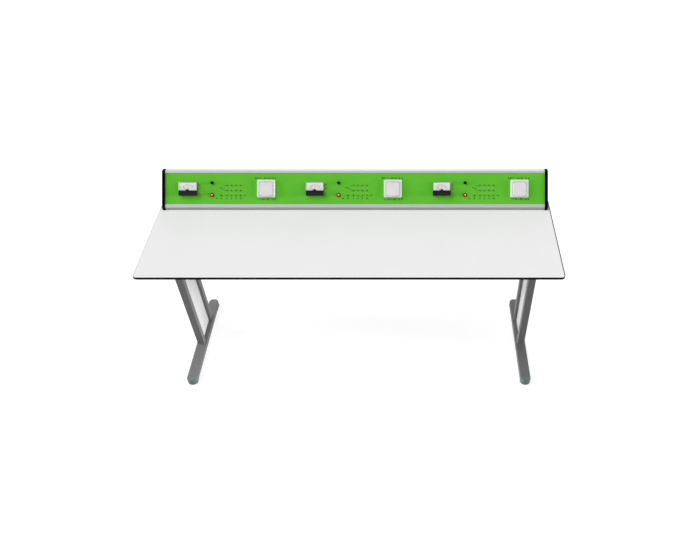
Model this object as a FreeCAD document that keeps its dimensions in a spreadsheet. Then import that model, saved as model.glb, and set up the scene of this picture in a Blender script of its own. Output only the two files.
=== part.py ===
import FreeCAD, Part
import math
import os

import Sketcher
from FreeCAD import Placement, Rotation, Vector

# Science lab table with a sloping supply console along its rear edge.
# Lengths are millimetres. X runs along the table, +Y to its rear edge, +Z up.
# The origin is on the floor, under the middle of the worktop.

TABLE_SIZES = {
    "top_length": 1800,
    "top_depth": 600,
    "top_thickness": 12,
    "top_height": 760,
    "top_corner_radius": 18,
    "top_edge_chamfer": 1.5,
    "cable_slot_length": 70,
    "cable_slot_width": 30,
    "cable_slot_setback": 100,
    "cable_slot_side": 500,
}

LEG_SIZES = {
    "leg_offset": 822,
    "foot_tube_width": 50,
    "foot_tube_height": 30,
    "foot_tube_wall": 2,
    "foot_tube_radius": 3,
    "foot_tube_length": 500,
    "foot_tube_setback": 25,
    "foot_ground_gap": 12,
    "upright_width": 35,
    "upright_depth": 30,
    "upright_wall": 2,
    "upright_radius": 2.5,
    "front_upright_setback": 245,
    "rear_upright_setback": 410,
    "rail_width": 35,
    "rail_height": 30,
    "rail_wall": 2,
    "rail_radius": 2.5,
    "rail_length": 440,
    "rail_setback": 80,
    "rail_plug_flange": 2,
    "rail_plug_length": 15,
    "infill_thickness": 6,
    "infill_bracket_leg": 16,
    "infill_bracket_width": 20,
    "infill_bracket_sheet": 2,
    "infill_bracket_inset": 90,
}

FOOT_CAP_SIZES = {
    "foot_cap_nose": 24,
    "foot_cap_nose_radius": 22,
    "foot_cap_proud": 0.4,
    "foot_cap_lift": 8,
    "foot_cap_sole_width": 42,
    "foot_cap_sole_reach": 8,
    "foot_cap_pad_length": 28,
    "foot_cap_plug_length": 25,
    "foot_cap_plug_gap": 0.2,
    "foot_cap_plug_wall": 2.5,
    "foot_cap_edge": 1.5,
}

BEAM_SIZES = {
    "beam_depth": 50,
    "beam_wall": 2,
    "beam_radius": 2.5,
    "front_beam_setback": 170,
    "rear_beam_setback": 375,
    "beam_plate_thickness": 5,
    "beam_plate_depth": 92,
    "beam_bolt_spacing": 70,
    "beam_bolt_diameter": 8,
    "beam_bolt_clearance": 0.3,
    "beam_bolt_tail": 3,
    "beam_bolt_head_height": 5.3,
    "beam_bolt_head_across": 13,
    "beam_nut_height": 6.5,
}

SCREW_SIZES = {
    "top_screw_diameter": 6,
    "top_screw_bite": 9,
    "top_screw_clearance": 0.3,
    "thread_gap": 0.05,
    "top_screw_head_diameter": 12,
    "top_screw_head_height": 3.5,
    "rail_screw_spread": 200,
    "beam_screw_side": 450,
    "console_screw_diameter": 5,
    "console_screw_clearance": 0.25,
    "console_screw_tail": 4,
    "console_screw_head_diameter": 9.5,
    "console_screw_head_height": 3,
    "console_screw_side": 680,
    "console_screw_front": 30,
    "console_screw_rear": 108,
}

CONSOLE_SIZES = {
    "console_tilt": 45,
    "console_setback": 440.5,
    "console_toe": 15,
    "console_slope": 167.5,
    "console_crest": 16,
    "console_wall": 2.5,
    "console_length": 1744,
    "console_crest_radius": 2,
    "front_strip": 15,
    "rear_strip": 9,
    "strip_lip": 1.2,
    "strip_groove_depth": 3.3,
    "strip_inner_lip": 1.6,
    "fascia_thickness": 3,
    "fascia_gap": 0.1,
    "port_radius": 4.2,
    "port_bore_radius": 1.9,
    "port_inset": 3.6,
    "end_cap_thickness": 15,
    "end_cap_rim": 2,
    "end_cap_corner": 5,
    "end_cap_edge": 4,
    "end_cap_recess_depth": 6,
    "end_cap_recess_diameter": 9,
    "end_cap_screw_length": 30,
    "end_cap_screw_head_diameter": 8,
    "end_cap_screw_head_height": 3,
}

SUPPLY_SIZES = {
    "core_width": 66,
    "core_depth": 32,
    "core_height": 46,
    "core_window": 11,
    "core_rear_gap": 10,
    "core_offset": 82,
    "winding_overhang": 9,
    "gland_side": 500,
    "gland_height": 55,
    "gland_body_radius": 10,
    "gland_nut_across": 24,
    "gland_nut_height": 5,
    "gland_dome_radius": 10.5,
    "gland_dome_length": 12,
    "gland_seal_radius": 6,
    "gland_seal_recess": 3,
    "gland_tail": 9,
}

STATION_SIZES = {
    "station_pitch": 581,
    "station_middle": -75,
    "meter_offset": -108,
    "meter_rise": 85,
    "fuse_rise": 113.5,
    "switch_rise": 57.2,
    "outlet_column_start": 68,
    "outlet_column_pitch": 20.8,
    "zero_outlet_offset": 42.6,
    "upper_outlet_rise": 101.5,
    "middle_outlet_rise": 78,
    "lower_outlet_rise": 55.2,
    "mains_offset": 249.3,
    "mains_rise": 86.4,
}

METER_SIZES = {
    "meter_width": 80,
    "meter_height": 62,
    "meter_base": 6,
    "meter_depth": 18,
    "meter_wall": 2,
    "meter_corner": 2,
    "meter_skirt": 22.4,
    "meter_boss_radius": 8,
    "meter_boss_height": 1.5,
    "meter_barrel_radius": 28,
    "meter_barrel_depth": 34,
    "meter_barrel_gap": 0.5,
    "meter_pivot_drop": 4.4,
    "meter_pivot_opening": 5,
    "meter_dial_thickness": 1,
    "meter_dial_gap": 0.5,
    "movement_radius": 22,
    "movement_length": 26,
    "movement_shoulder_radius": 2,
    "movement_pin_radius": 0.8,
    "movement_pin_length": 4,
    "needle_hub_radius": 2.5,
    "needle_hub_height": 3,
    "needle_clearance": 0.05,
    "needle_hub_gap": 0.3,
    "needle_reach": 36,
    "needle_tail": 7,
    "needle_root": 1.6,
    "needle_tip": 0.6,
    "needle_sheet": 0.6,
    "needle_start_angle": 45,
}

FUSE_SIZES = {
    "fuse_flange_radius": 7.5,
    "fuse_flange_height": 2,
    "fuse_barrel_radius": 6,
    "fuse_barrel_length": 28,
    "fuse_bore_radius": 4.8,
    "fuse_bore_length": 24,
    "fuse_cap_radius": 6.2,
    "fuse_cap_height": 8,
    "fuse_cap_chamfer": 0.8,
    "fuse_cap_gap": 0.3,
    "fuse_stem_length": 20,
    "fuse_slot_width": 1.4,
    "fuse_slot_depth": 1.5,
    "fuse_nut_radius": 8.5,
    "fuse_nut_height": 3,
    "panel_hole_gap": 0.1,
}

SWITCH_SIZES = {
    "switch_bezel_radius": 10,
    "switch_bezel_height": 3,
    "switch_bezel_chamfer": 1.2,
    "switch_body_radius": 8,
    "switch_body_length": 26,
    "switch_bore_radius": 5.8,
    "switch_bore_depth": 12,
    "switch_button_radius": 5.5,
    "switch_button_rise": 2.2,
    "switch_button_length": 9,
    "switch_button_chamfer": 1,
}

OUTLET_SIZES = {
    "outlet_flange_radius": 4,
    "outlet_flange_height": 1.8,
    "outlet_barrel_radius": 3,
    "outlet_barrel_length": 18,
    "outlet_bore_radius": 2,
    "outlet_bore_length": 16,
}

MAINS_SIZES = {
    "mains_plate_size": 81,
    "mains_plate_thickness": 9,
    "mains_plate_corner": 5,
    "mains_plate_edge": 1.5,
    "mains_opening_width": 60,
    "mains_opening_low": 35,
    "mains_opening_high": 32,
    "mains_insert_top": 24,
    "mains_insert_face": 6.5,
    "mains_box_size": 50,
    "mains_box_depth": 38,
    "mains_box_gap": 0.3,
    "mains_recess_radius": 19.5,
    "mains_recess_depth": 17.5,
    "mains_pin_hole_radius": 2.5,
    "mains_pin_hole_depth": 19,
    "mains_pin_spacing": 19,
    "mains_key_width": 5,
    "mains_key_reach": 3,
    "earth_clip_width": 4,
    "earth_clip_sheet": 1.2,
    "earth_clip_length": 15,
    "earth_clip_gap": 0.2,
}

LID_SIZES = {
    "lid_width": 58,
    "lid_low": 32.5,
    "lid_high": 26,
    "lid_thickness": 4.4,
    "lid_corner": 4,
    "lid_edge": 1,
    "lid_seat_gap": 0.3,
    "lid_lip_width": 40,
    "lid_lip_depth": 2.2,
    "lid_lip_height": 6,
    "hinge_rise": 28.6,
    "hinge_height": 8.6,
    "hinge_barrel_radius": 2.5,
    "hinge_barrel_reach": 20,
    "hinge_pin_radius": 1,
    "hinge_pin_reach": 26,
    "hinge_running_gap": 0.05,
    "hinge_lug_gap": 0.4,
    "hinge_lug_radius": 2.2,
    "hinge_seat_gap": 0.05,
    "hinge_spring_reach": 5.5,
    "hinge_spring_radius": 2.2,
    "hinge_spring_gap": 0.5,
}

SHEET_GROUPS = (
    TABLE_SIZES,
    LEG_SIZES,
    FOOT_CAP_SIZES,
    BEAM_SIZES,
    SCREW_SIZES,
    CONSOLE_SIZES,
    SUPPLY_SIZES,
    STATION_SIZES,
    METER_SIZES,
    FUSE_SIZES,
    SWITCH_SIZES,
    OUTLET_SIZES,
    MAINS_SIZES,
    LID_SIZES,
)

STATION_COUNT = 3
OUTLET_COLUMNS = 4

# Small rounds are drawn with flats, which keeps the facets of the many repeats few.
# Pins that something turns on stay true circles.
HIDDEN_SIDES = 6
SMALL_SIDES = 8
SEEN_SIDES = 12
RECESS_SIDES = 16
CORNER_STEPS = 2
TOP_STEPS = 5
NOSE_STEPS = 4
SIDES = (("left", -1), ("right", 1))


class Size:
    """A number together with the spreadsheet expression that gives it."""

    def __init__(self, value, text):
        self.value = value
        self.text = text

    def __add__(self, other):
        other = as_size(other)
        return Size(self.value + other.value, f"({self.text} + {other.text})")

    def __radd__(self, other):
        return as_size(other) + self

    def __sub__(self, other):
        other = as_size(other)
        return Size(self.value - other.value, f"({self.text} - {other.text})")

    def __rsub__(self, other):
        return as_size(other) - self

    def __mul__(self, other):
        other = as_size(other)
        return Size(self.value * other.value, f"({self.text} * {other.text})")

    def __rmul__(self, other):
        return as_size(other) * self

    def __truediv__(self, other):
        other = as_size(other)
        return Size(self.value / other.value, f"({self.text} / {other.text})")

    def __neg__(self):
        return Size(-self.value, f"(0 - {self.text})")


def as_size(item):
    """Turn a plain count or share into a Size."""
    return item if isinstance(item, Size) else Size(float(item), repr(float(item)))


def cosine(angle):
    return Size(math.cos(math.radians(angle.value)), f"cos({angle.text})")


def sine(angle):
    return Size(math.sin(math.radians(angle.value)), f"sin({angle.text})")


def tangent(angle):
    return Size(math.tan(math.radians(angle.value)), f"tan({angle.text})")


def degrees(number):
    return Size(number, repr(round(number, 6)))


class SizeSheet:
    """The document's spreadsheet: each alias reads back as a Size."""

    def __init__(self, document, groups):
        self.sheet = document.addObject("Spreadsheet::Sheet", "Sizes")
        row = 1
        for group in groups:
            for alias, number in group.items():
                self.sheet.set(f"A{row}", alias)
                self.sheet.set(f"B{row}", str(number))
                self.sheet.setAlias(f"B{row}", alias)
                row += 1
        document.recompute()

    def __getattr__(self, alias):
        return Size(float(self.sheet.get(alias)), f"Sizes.{alias}")


doc = FreeCAD.newDocument("LabTable")
size = SizeSheet(doc, SHEET_GROUPS)
ZERO = Size(0.0, "0")
kept = {}


def bind(item, path, length):
    """Tie one property of a document object to its expression."""
    item.setExpression(path, length.text)


def place(item, x, y, z, rotation=None):
    """Put an object at x, y, z, each tied to the sheet."""
    turn = rotation if rotation else Rotation()
    item.Placement = Placement(Vector(x.value, y.value, z.value), turn)
    bind(item, "Placement.Base.x", x)
    bind(item, "Placement.Base.y", y)
    bind(item, "Placement.Base.z", z)


def keep(item):
    """Register a finished sub-part under its label."""
    kept[item.Label] = item
    return item


def new_body(label):
    body = doc.addObject("PartDesign::Body", label)
    body.Label = label
    return body


def origin_feature(body, role):
    for feature in body.Origin.OriginFeatures:
        if feature.Role == role:
            return feature
    raise ValueError(role)


def new_sketch(body, name, role="XY_Plane", lift=ZERO):
    """A sketch on one of the body's own planes, lifted along its normal."""
    sketch = body.newObject("Sketcher::SketchObject", f"{body.Label}_{name}")
    sketch.AttachmentSupport = (origin_feature(body, role), [""])
    sketch.MapMode = "FlatFace"
    sketch.AttachmentOffset = Placement(Vector(0, 0, lift.value), Rotation())
    bind(sketch, "AttachmentOffset.Base.z", lift)
    return sketch


def pin_point(sketch, geometry, position, x, y):
    """Fix a sketch point at x, y from the sketch's origin."""
    for kind, length in (("DistanceX", x), ("DistanceY", y)):
        index = sketch.addConstraint(Sketcher.Constraint(kind, -1, 1, geometry, position, length.value))
        bind(sketch, f"Constraints[{index}]", length)


def draw_polygon(sketch, points):
    """Closed outline of straight lines through points of two Sizes each."""
    first = sketch.GeometryCount
    count = len(points)
    for number, (x, y) in enumerate(points):
        next_x, next_y = points[(number + 1) % count]
        start = Vector(x.value, y.value, 0)
        end = Vector(next_x.value, next_y.value, 0)
        sketch.addGeometry(Part.LineSegment(start, end), False)
    for number, (x, y) in enumerate(points):
        following = first + (number + 1) % count
        sketch.addConstraint(Sketcher.Constraint("Coincident", first + number, 2, following, 1))
        pin_point(sketch, first + number, 1, x, y)


def draw_box(sketch, low_x, high_x, low_y, high_y):
    draw_polygon(sketch, ((low_x, low_y), (high_x, low_y), (high_x, high_y), (low_x, high_y)))


def arc_point(x, y, radius, turn):
    """Point at an angle on a circle about x, y."""
    angle = degrees(turn)
    return x + radius * cosine(angle), y + radius * sine(angle)


def draw_circle(sketch, x, y, radius):
    circle = Part.Circle(Vector(x.value, y.value, 0), Vector(0, 0, 1), radius.value)
    geometry = sketch.addGeometry(circle, False)
    pin_point(sketch, geometry, 3, x, y)
    index = sketch.addConstraint(Sketcher.Constraint("Radius", geometry, radius.value))
    bind(sketch, f"Constraints[{index}]", radius)


def draw_shaft(sketch, x, y, radius, sides):
    """Regular outline whose corners lie on the radius."""
    step = 360 / sides
    draw_polygon(sketch, [arc_point(x, y, radius, step * (number + 0.5)) for number in range(sides)])


def draw_hole(sketch, x, y, radius, sides):
    """Regular outline whose flats touch the radius, so that a shaft of that radius is clear."""
    draw_shaft(sketch, x, y, radius / cosine(degrees(180 / sides)), sides)


def draw_eased(sketch, low_x, high_x, low_y, high_y, radius, steps=CORNER_STEPS):
    """Closed rectangle whose corners are rounded in a few equal steps."""
    corners = (
        (high_x - radius, high_y - radius, 0),
        (low_x + radius, high_y - radius, 90),
        (low_x + radius, low_y + radius, 180),
        (high_x - radius, low_y + radius, 270),
    )
    points = []
    for x, y, angle in corners:
        points += [arc_point(x, y, radius, angle + 90 * step / steps) for step in range(steps + 1)]
    draw_polygon(sketch, points)


def pad(body, name, sketch, length, backwards=False):
    feature = body.newObject("PartDesign::Pad", f"{body.Label}_{name}")
    feature.Profile = sketch
    feature.Length = length.value
    bind(feature, "Length", length)
    feature.Reversed = backwards
    sketch.Visibility = False
    return feature


def pocket(body, name, sketch, length=None, forwards=False):
    """Cut a sketch into the body, right through both ways when no length is given."""
    feature = body.newObject("PartDesign::Pocket", f"{body.Label}_{name}")
    feature.Profile = sketch
    if length:
        feature.Length = length.value
        bind(feature, "Length", length)
        feature.Reversed = forwards
    else:
        feature.Type = "ThroughAll"
        feature.Midplane = True
    sketch.Visibility = False
    return feature


def edges_where(feature, wanted):
    """Names of the feature's edges that pass a test."""
    doc.recompute()
    edges = feature.Shape.Edges
    return [f"Edge{number}" for number, edge in enumerate(edges, 1) if wanted(edge)]


def runs_along(edge, direction):
    """True for a straight edge parallel to a direction."""
    if edge.Curve.TypeId != "Part::GeomLine":
        return False
    return abs(abs(edge.Curve.Direction.dot(direction)) - 1) < 1e-6


def dress(body, kind, name, feature, wanted, length):
    """Fillet or chamfer the edges of a feature that pass a test."""
    names = edges_where(feature, wanted)
    if not names:
        raise ValueError(f"{body.Label} {name}: no edge to dress")
    dressing = body.newObject(f"PartDesign::{kind}", f"{body.Label}_{name}")
    dressing.Base = (feature, names)
    target = "Radius" if kind == "Fillet" else "Size"
    setattr(dressing, target, length.value)
    bind(dressing, target, length)
    return dressing


def lies_at(edge, axis, level):
    """True when every end and the middle of an edge have one coordinate."""
    middle = edge.valueAt((edge.FirstParameter + edge.LastParameter) / 2)
    points = [vertex.Point for vertex in edge.Vertexes] + [middle]
    return all(abs(getattr(point, axis) - level.value) < 1e-4 for point in points)


def group(label, template, placements):
    """One sub-part that holds several placed copies of a template."""
    doc.recompute()
    copies = []
    for placement in placements:
        copy = template.Shape.copy()
        copy.Placement = placement.multiply(copy.Placement)
        copies.append(copy)
    item = doc.addObject("Part::Feature", label)
    item.Label = label
    item.Shape = Part.makeCompound(copies)
    return keep(item)


def at(x, y, z, rotation=None):
    return Placement(Vector(x.value, y.value, z.value), rotation if rotation else Rotation())


# Levels and places that several sub-assemblies share

ALONG_X = Rotation(Vector(0, 1, 0), 90)
ALONG_Y = Rotation(Vector(1, 0, 0), -90)
TO_PANEL = Rotation(Vector(1, 0, 0), size.console_tilt.value)

front_edge = -size.top_depth / 2
rear_edge = size.top_depth / 2
underside = size.top_height - size.top_thickness
rail_bottom = underside - size.rail_height
foot_top = size.foot_ground_gap + size.foot_tube_height
front_upright_y = front_edge + size.front_upright_setback
rear_upright_y = front_edge + size.rear_upright_setback
front_beam_y = front_edge + size.front_beam_setback
rear_beam_y = front_edge + size.rear_beam_setback
rail_inner = size.leg_offset - size.rail_width / 2
rail_outer = size.leg_offset + size.rail_width / 2
rail_start_y = front_edge + size.rail_setback
rail_middle_y = rail_start_y + size.rail_length / 2
rail_middle_z = underside - size.rail_height / 2
console_y = front_edge + size.console_setback
slope_run = size.console_slope * cosine(size.console_tilt)
slope_rise = size.console_slope * sine(size.console_tilt)
console_depth = slope_run + size.console_crest
console_height = size.console_toe + slope_rise
fascia_level = -(size.strip_lip + size.fascia_gap)


def station_x(station):
    """Place along X of a station's fuse and switch, counted from the left."""
    return size.station_middle + (station - (STATION_COUNT - 1) / 2) * size.station_pitch


def slope_point(along, out):
    """Console section point: along the slope from its foot, and out from it."""
    tilt = size.console_tilt
    across = along * cosine(tilt) - out * sine(tilt)
    up = size.console_toe + along * sine(tilt) + out * cosine(tilt)
    return across, up


def panel_base(rise):
    """World Y and Z of the fascia's face at a distance up the slope."""
    across, up = slope_point(rise, fascia_level)
    return console_y + across, size.top_height + up


def on_panel(x, rise, turn=0.0):
    """Placement of a piece whose local Z points out of the fascia."""
    y, z = panel_base(rise)
    rotation = TO_PANEL.multiply(Rotation(Vector(0, 0, 1), turn))
    return Placement(Vector(x.value, y.value, z.value), rotation)


def station_places(offset, rise):
    """Panel placements of a piece that each station carries once."""
    return [on_panel(station_x(station) + offset, rise) for station in range(STATION_COUNT)]


def place_on_panel(item, x, rise, turn=0.0):
    y, z = panel_base(rise)
    place(item, x, y, z, TO_PANEL.multiply(Rotation(Vector(0, 0, 1), turn)))


def top_screw_places():
    """X and Y of the screws that hold the worktop to rails and beams."""
    places = []
    for side in (-1, 1):
        for end in (-1, 1):
            places.append((side * size.leg_offset, rail_middle_y + end * size.rail_screw_spread))
        for beam_y in (front_beam_y, rear_beam_y):
            places.append((side * size.beam_screw_side, beam_y))
    return places


def console_screw_places():
    """X and Y of the screws that hold the console to the worktop."""
    places = []
    for side in (-1, 1):
        for depth in (size.console_screw_front, size.console_screw_rear):
            places.append((side * size.console_screw_side, console_y + depth))
    return places


# Worktop: compact laminate with rounded corners and eased edges


def make_worktop():
    body = new_body("worktop")
    outline = new_sketch(body, "outline")
    half = size.top_length / 2
    draw_eased(outline, -half, half, front_edge, rear_edge, size.top_corner_radius, TOP_STEPS)
    board = pad(body, "board", outline, size.top_thickness)

    def on_rim(edge):
        return lies_at(edge, "z", size.top_thickness) or lies_at(edge, "z", ZERO)

    dress(body, "Chamfer", "eased_edge", board, on_rim, size.top_edge_chamfer)
    slot = new_sketch(body, "slot")
    slot_y = rear_edge - size.cable_slot_setback
    half_slot = size.cable_slot_length / 2
    half_width = size.cable_slot_width / 2
    slot_x = size.cable_slot_side
    corner = size.cable_slot_width / 3
    draw_eased(slot, slot_x - half_slot, slot_x + half_slot, slot_y - half_width, slot_y + half_width, corner)
    pocket(body, "cable_slot", slot)
    blind = new_sketch(body, "screw_outlines")
    for x, y in top_screw_places():
        draw_hole(blind, x, y, size.top_screw_diameter / 2 + size.thread_gap, HIDDEN_SIDES)
    pocket(body, "screw_holes", blind, size.top_screw_bite, forwards=True)
    through = new_sketch(body, "console_outlines")
    for x, y in console_screw_places():
        radius = size.console_screw_diameter / 2 + size.console_screw_clearance
        draw_hole(through, x, y, radius, HIDDEN_SIDES)
    pocket(body, "console_holes", through)
    place(body, ZERO, ZERO, underside)
    keep(body)


# Legs: foot tube, two uprights and a top rail in steel tube, with a laminate infill


def rectangular_tube(label, width, depth, wall, radius, length):
    """Straight tube along local Z with a rounded rectangular section."""
    body = new_body(label)
    section = new_sketch(body, "section")
    draw_eased(section, -width / 2, width / 2, -depth / 2, depth / 2, radius)
    draw_box(section, wall - width / 2, width / 2 - wall, wall - depth / 2, depth / 2 - wall)
    pad(body, "tube", section, length)
    return body


def make_foot_tube(name, side):
    width = size.foot_tube_width
    height = size.foot_tube_height
    label = f"foot_tube_{name}"
    wall = size.foot_tube_wall
    body = rectangular_tube(label, width, height, wall, size.foot_tube_radius, size.foot_tube_length)
    middle_z = size.foot_ground_gap + height / 2
    place(body, side * size.leg_offset, front_edge + size.foot_tube_setback, middle_z, ALONG_Y)
    keep(body)


def make_upright(label, side, y):
    length = rail_bottom - foot_top
    width = size.upright_width
    depth = size.upright_depth
    body = rectangular_tube(label, width, depth, size.upright_wall, size.upright_radius, length)
    place(body, side * size.leg_offset, y, foot_top)
    keep(body)


def make_top_rail(name, side):
    """Rail under the worktop, drilled for the worktop screws and beam bolts."""
    width = size.rail_width
    height = size.rail_height
    length = size.rail_length
    body = rectangular_tube(f"top_rail_{name}", width, height, size.rail_wall, size.rail_radius, length)
    upright_holes = new_sketch(body, "screw_outlines", "XZ_Plane")
    for end in (-1, 1):
        along = length / 2 + end * size.rail_screw_spread
        radius = size.top_screw_diameter / 2 + size.top_screw_clearance
        draw_hole(upright_holes, ZERO, along, radius, HIDDEN_SIDES)
    pocket(body, "screw_holes", upright_holes)
    cross_holes = new_sketch(body, "bolt_outlines", "YZ_Plane")
    for beam_y in (front_beam_y, rear_beam_y):
        for end in (-1, 1):
            along = beam_y + end * size.beam_bolt_spacing / 2 - rail_start_y
            radius = size.beam_bolt_diameter / 2 + size.beam_bolt_clearance
            draw_hole(cross_holes, ZERO, along, radius, HIDDEN_SIDES)
    pocket(body, "bolt_holes", cross_holes)
    place(body, side * size.leg_offset, rail_start_y, rail_middle_z, ALONG_Y)
    keep(body)


def make_rail_plugs():
    """Plastic plugs that close the four ends of the top rails."""
    body = new_body("rail_plug")
    width = size.rail_width
    height = size.rail_height
    flange = new_sketch(body, "flange_outline")
    draw_eased(flange, -width / 2, width / 2, -height / 2, height / 2, size.rail_radius, 1)
    pad(body, "flange", flange, size.rail_plug_flange)
    shank = new_sketch(body, "shank_outline")
    inset = size.rail_wall + size.fascia_gap
    draw_box(shank, inset - width / 2, width / 2 - inset, inset - height / 2, height / 2 - inset)
    pad(body, "shank", shank, size.rail_plug_length, backwards=True)
    half = size.rail_length / 2
    placements = []
    for side in (-1, 1):
        x = side * size.leg_offset
        placements.append(at(x, rail_middle_y + half, rail_middle_z, ALONG_Y))
        placements.append(at(x, rail_middle_y - half, rail_middle_z, Rotation(Vector(1, 0, 0), 90)))
    group("rail_plugs", body, placements)


def make_infill_panel(name, side):
    """Thin laminate panel that fills the gap between the two uprights."""
    body = new_body(f"infill_panel_{name}")
    outline = new_sketch(body, "outline")
    half_sheet = size.infill_thickness / 2
    low_y = front_upright_y + size.upright_depth / 2
    high_y = rear_upright_y - size.upright_depth / 2
    draw_box(outline, -half_sheet, half_sheet, low_y, high_y)
    pad(body, "sheet", outline, rail_bottom - foot_top)
    place(body, side * size.leg_offset, ZERO, foot_top)
    keep(body)


def make_infill_brackets():
    """Small steel angles that hold the infill panels to the uprights."""
    body = new_body("infill_bracket")
    leg = size.infill_bracket_leg
    sheet = size.infill_bracket_sheet
    section = new_sketch(body, "section")
    draw_polygon(section, ((ZERO, ZERO), (leg, ZERO), (leg, sheet), (sheet, sheet), (sheet, leg), (ZERO, leg)))
    pad(body, "angle", section, size.infill_bracket_width)
    face = size.infill_thickness / 2
    low_y = front_upright_y + size.upright_depth / 2
    high_y = rear_upright_y - size.upright_depth / 2
    low_z = foot_top + size.infill_bracket_inset
    high_z = rail_bottom - size.infill_bracket_inset - size.infill_bracket_width
    placements = []
    flip = Rotation(Vector(1, 0, 0), 180)
    for side in (-1, 1):
        outer = side * size.leg_offset + side * face
        for z in (low_z, high_z):
            top = z + size.infill_bracket_width
            if side > 0:
                placements.append(at(outer, low_y, z))
                placements.append(at(outer, high_y, top, flip))
            else:
                placements.append(at(outer, high_y, z, Rotation(Vector(0, 0, 1), 180)))
                placements.append(at(outer, low_y, top, Rotation(Vector(0, 1, 0), 180)))
    group("infill_brackets", body, placements)


def make_foot_cap(label, side, end):
    """Plastic cap that plugs a foot tube and stands on the floor."""
    body = new_body(label)
    proud = size.foot_cap_proud
    half = size.foot_tube_width / 2 + proud
    top = foot_top + proud
    nose = new_sketch(body, "nose_outline", "XY_Plane", size.foot_cap_lift)
    back = -2 * size.foot_cap_nose_radius
    draw_eased(nose, -half, half, back, size.foot_cap_nose, size.foot_cap_nose_radius, NOSE_STEPS)
    nose_pad = pad(body, "nose", nose, top - size.foot_cap_lift)

    def on_top(edge):
        return lies_at(edge, "z", top)

    dress(body, "Chamfer", "soft_edge", nose_pad, on_top, size.foot_cap_edge)
    room = new_sketch(body, "tube_room_outline")
    draw_box(room, -2 * half, 2 * half, -2 * size.foot_tube_width, ZERO)
    pocket(body, "tube_room", room)
    sole = new_sketch(body, "sole_outline")
    half_sole = size.foot_cap_sole_width / 2
    draw_box(sole, -half_sole, half_sole, -size.foot_cap_pad_length, size.foot_cap_sole_reach)
    pad(body, "sole", sole, size.foot_ground_gap)
    inset = size.foot_tube_wall + size.foot_cap_plug_gap
    wide = size.foot_tube_width / 2 - inset
    low = size.foot_ground_gap + inset
    high = foot_top - inset
    plug = new_sketch(body, "plug_outline", "XZ_Plane")
    draw_box(plug, -wide, wide, low, high)
    pad(body, "plug", plug, size.foot_cap_plug_length)
    wall = size.foot_cap_plug_wall
    hollow = new_sketch(body, "plug_hollow_outline", "XZ_Plane", size.foot_cap_plug_length)
    draw_box(hollow, wall - wide, wide - wall, low + wall, high - wall)
    pocket(body, "plug_hollow", hollow, size.foot_cap_plug_length)
    tube_front = front_edge + size.foot_tube_setback
    y = tube_front if end < 0 else tube_front + size.foot_tube_length
    turn = Rotation(Vector(0, 0, 1), 180 if end < 0 else 0)
    place(body, side * size.leg_offset, y, ZERO, turn)
    keep(body)


# Crossbeams between the top rails, with their bolts, nuts and the worktop screws


def make_crossbeam(label, y):
    """Flat tube with an end plate welded to each end."""
    height = size.rail_height
    depth = size.beam_depth
    plate = size.beam_plate_thickness
    span = 2 * rail_inner
    tube_length = span - 2 * plate
    body = rectangular_tube(label, height, depth, size.beam_wall, size.beam_radius, tube_length)
    half_plate = size.beam_plate_depth / 2
    plate_low = new_sketch(body, "near_plate_outline")
    draw_box(plate_low, -height / 2, height / 2, -half_plate, half_plate)
    pad(body, "near_plate", plate_low, plate, backwards=True)
    plate_high = new_sketch(body, "far_plate_outline", "XY_Plane", tube_length)
    draw_box(plate_high, -height / 2, height / 2, -half_plate, half_plate)
    pad(body, "far_plate", plate_high, plate)
    bolts = new_sketch(body, "bolt_outlines")
    for end in (-1, 1):
        place_y = end * size.beam_bolt_spacing / 2
        radius = size.beam_bolt_diameter / 2 + size.beam_bolt_clearance
        draw_hole(bolts, ZERO, place_y, radius, HIDDEN_SIDES)
    pocket(body, "bolt_holes", bolts)
    screws = new_sketch(body, "screw_outlines", "YZ_Plane")
    for side in (-1, 1):
        radius = size.top_screw_diameter / 2 + size.top_screw_clearance
        draw_hole(screws, ZERO, tube_length / 2 + side * size.beam_screw_side, radius, HIDDEN_SIDES)
    pocket(body, "screw_holes", screws)
    place(body, plate - rail_inner, y, rail_middle_z, ALONG_X)
    keep(body)


def draw_hexagon(sketch, across):
    """Regular hexagon about the sketch's origin, by its size across flats."""
    draw_hole(sketch, ZERO, ZERO, across / 2, 6)


def beam_bolt_placements(x, turn_left, turn_right):
    """Placements at every beam bolt, at a distance x from the middle."""
    placements = []
    for side, turn in ((-1, turn_left), (1, turn_right)):
        for beam_y in (front_beam_y, rear_beam_y):
            for end in (-1, 1):
                y = beam_y + end * size.beam_bolt_spacing / 2
                placements.append(at(side * x, y, rail_middle_z, turn))
    return placements


def make_beam_bolts():
    """Hexagon bolts through the top rails and the beams' end plates."""
    bolt = new_body("beam_bolt")
    head = new_sketch(bolt, "head_outline")
    draw_hexagon(head, size.beam_bolt_head_across)
    pad(bolt, "head", head, size.beam_bolt_head_height, backwards=True)
    shank = new_sketch(bolt, "shank_outline")
    draw_shaft(shank, ZERO, ZERO, size.beam_bolt_diameter / 2, HIDDEN_SIDES)
    grip = size.rail_width + size.beam_plate_thickness
    pad(bolt, "shank", shank, grip + size.beam_nut_height + size.beam_bolt_tail)
    inward_left = ALONG_X
    inward_right = Rotation(Vector(0, 1, 0), -90)
    group("beam_bolts", bolt, beam_bolt_placements(rail_outer, inward_left, inward_right))
    nut = new_body("beam_nut")
    ring = new_sketch(nut, "ring_outline")
    draw_hexagon(ring, size.beam_bolt_head_across)
    draw_hole(ring, ZERO, ZERO, size.beam_bolt_diameter / 2 + size.thread_gap, HIDDEN_SIDES)
    pad(nut, "ring", ring, size.beam_nut_height)
    seat = rail_inner - size.beam_plate_thickness
    group("beam_nuts", nut, beam_bolt_placements(seat, inward_left, inward_right))


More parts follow.
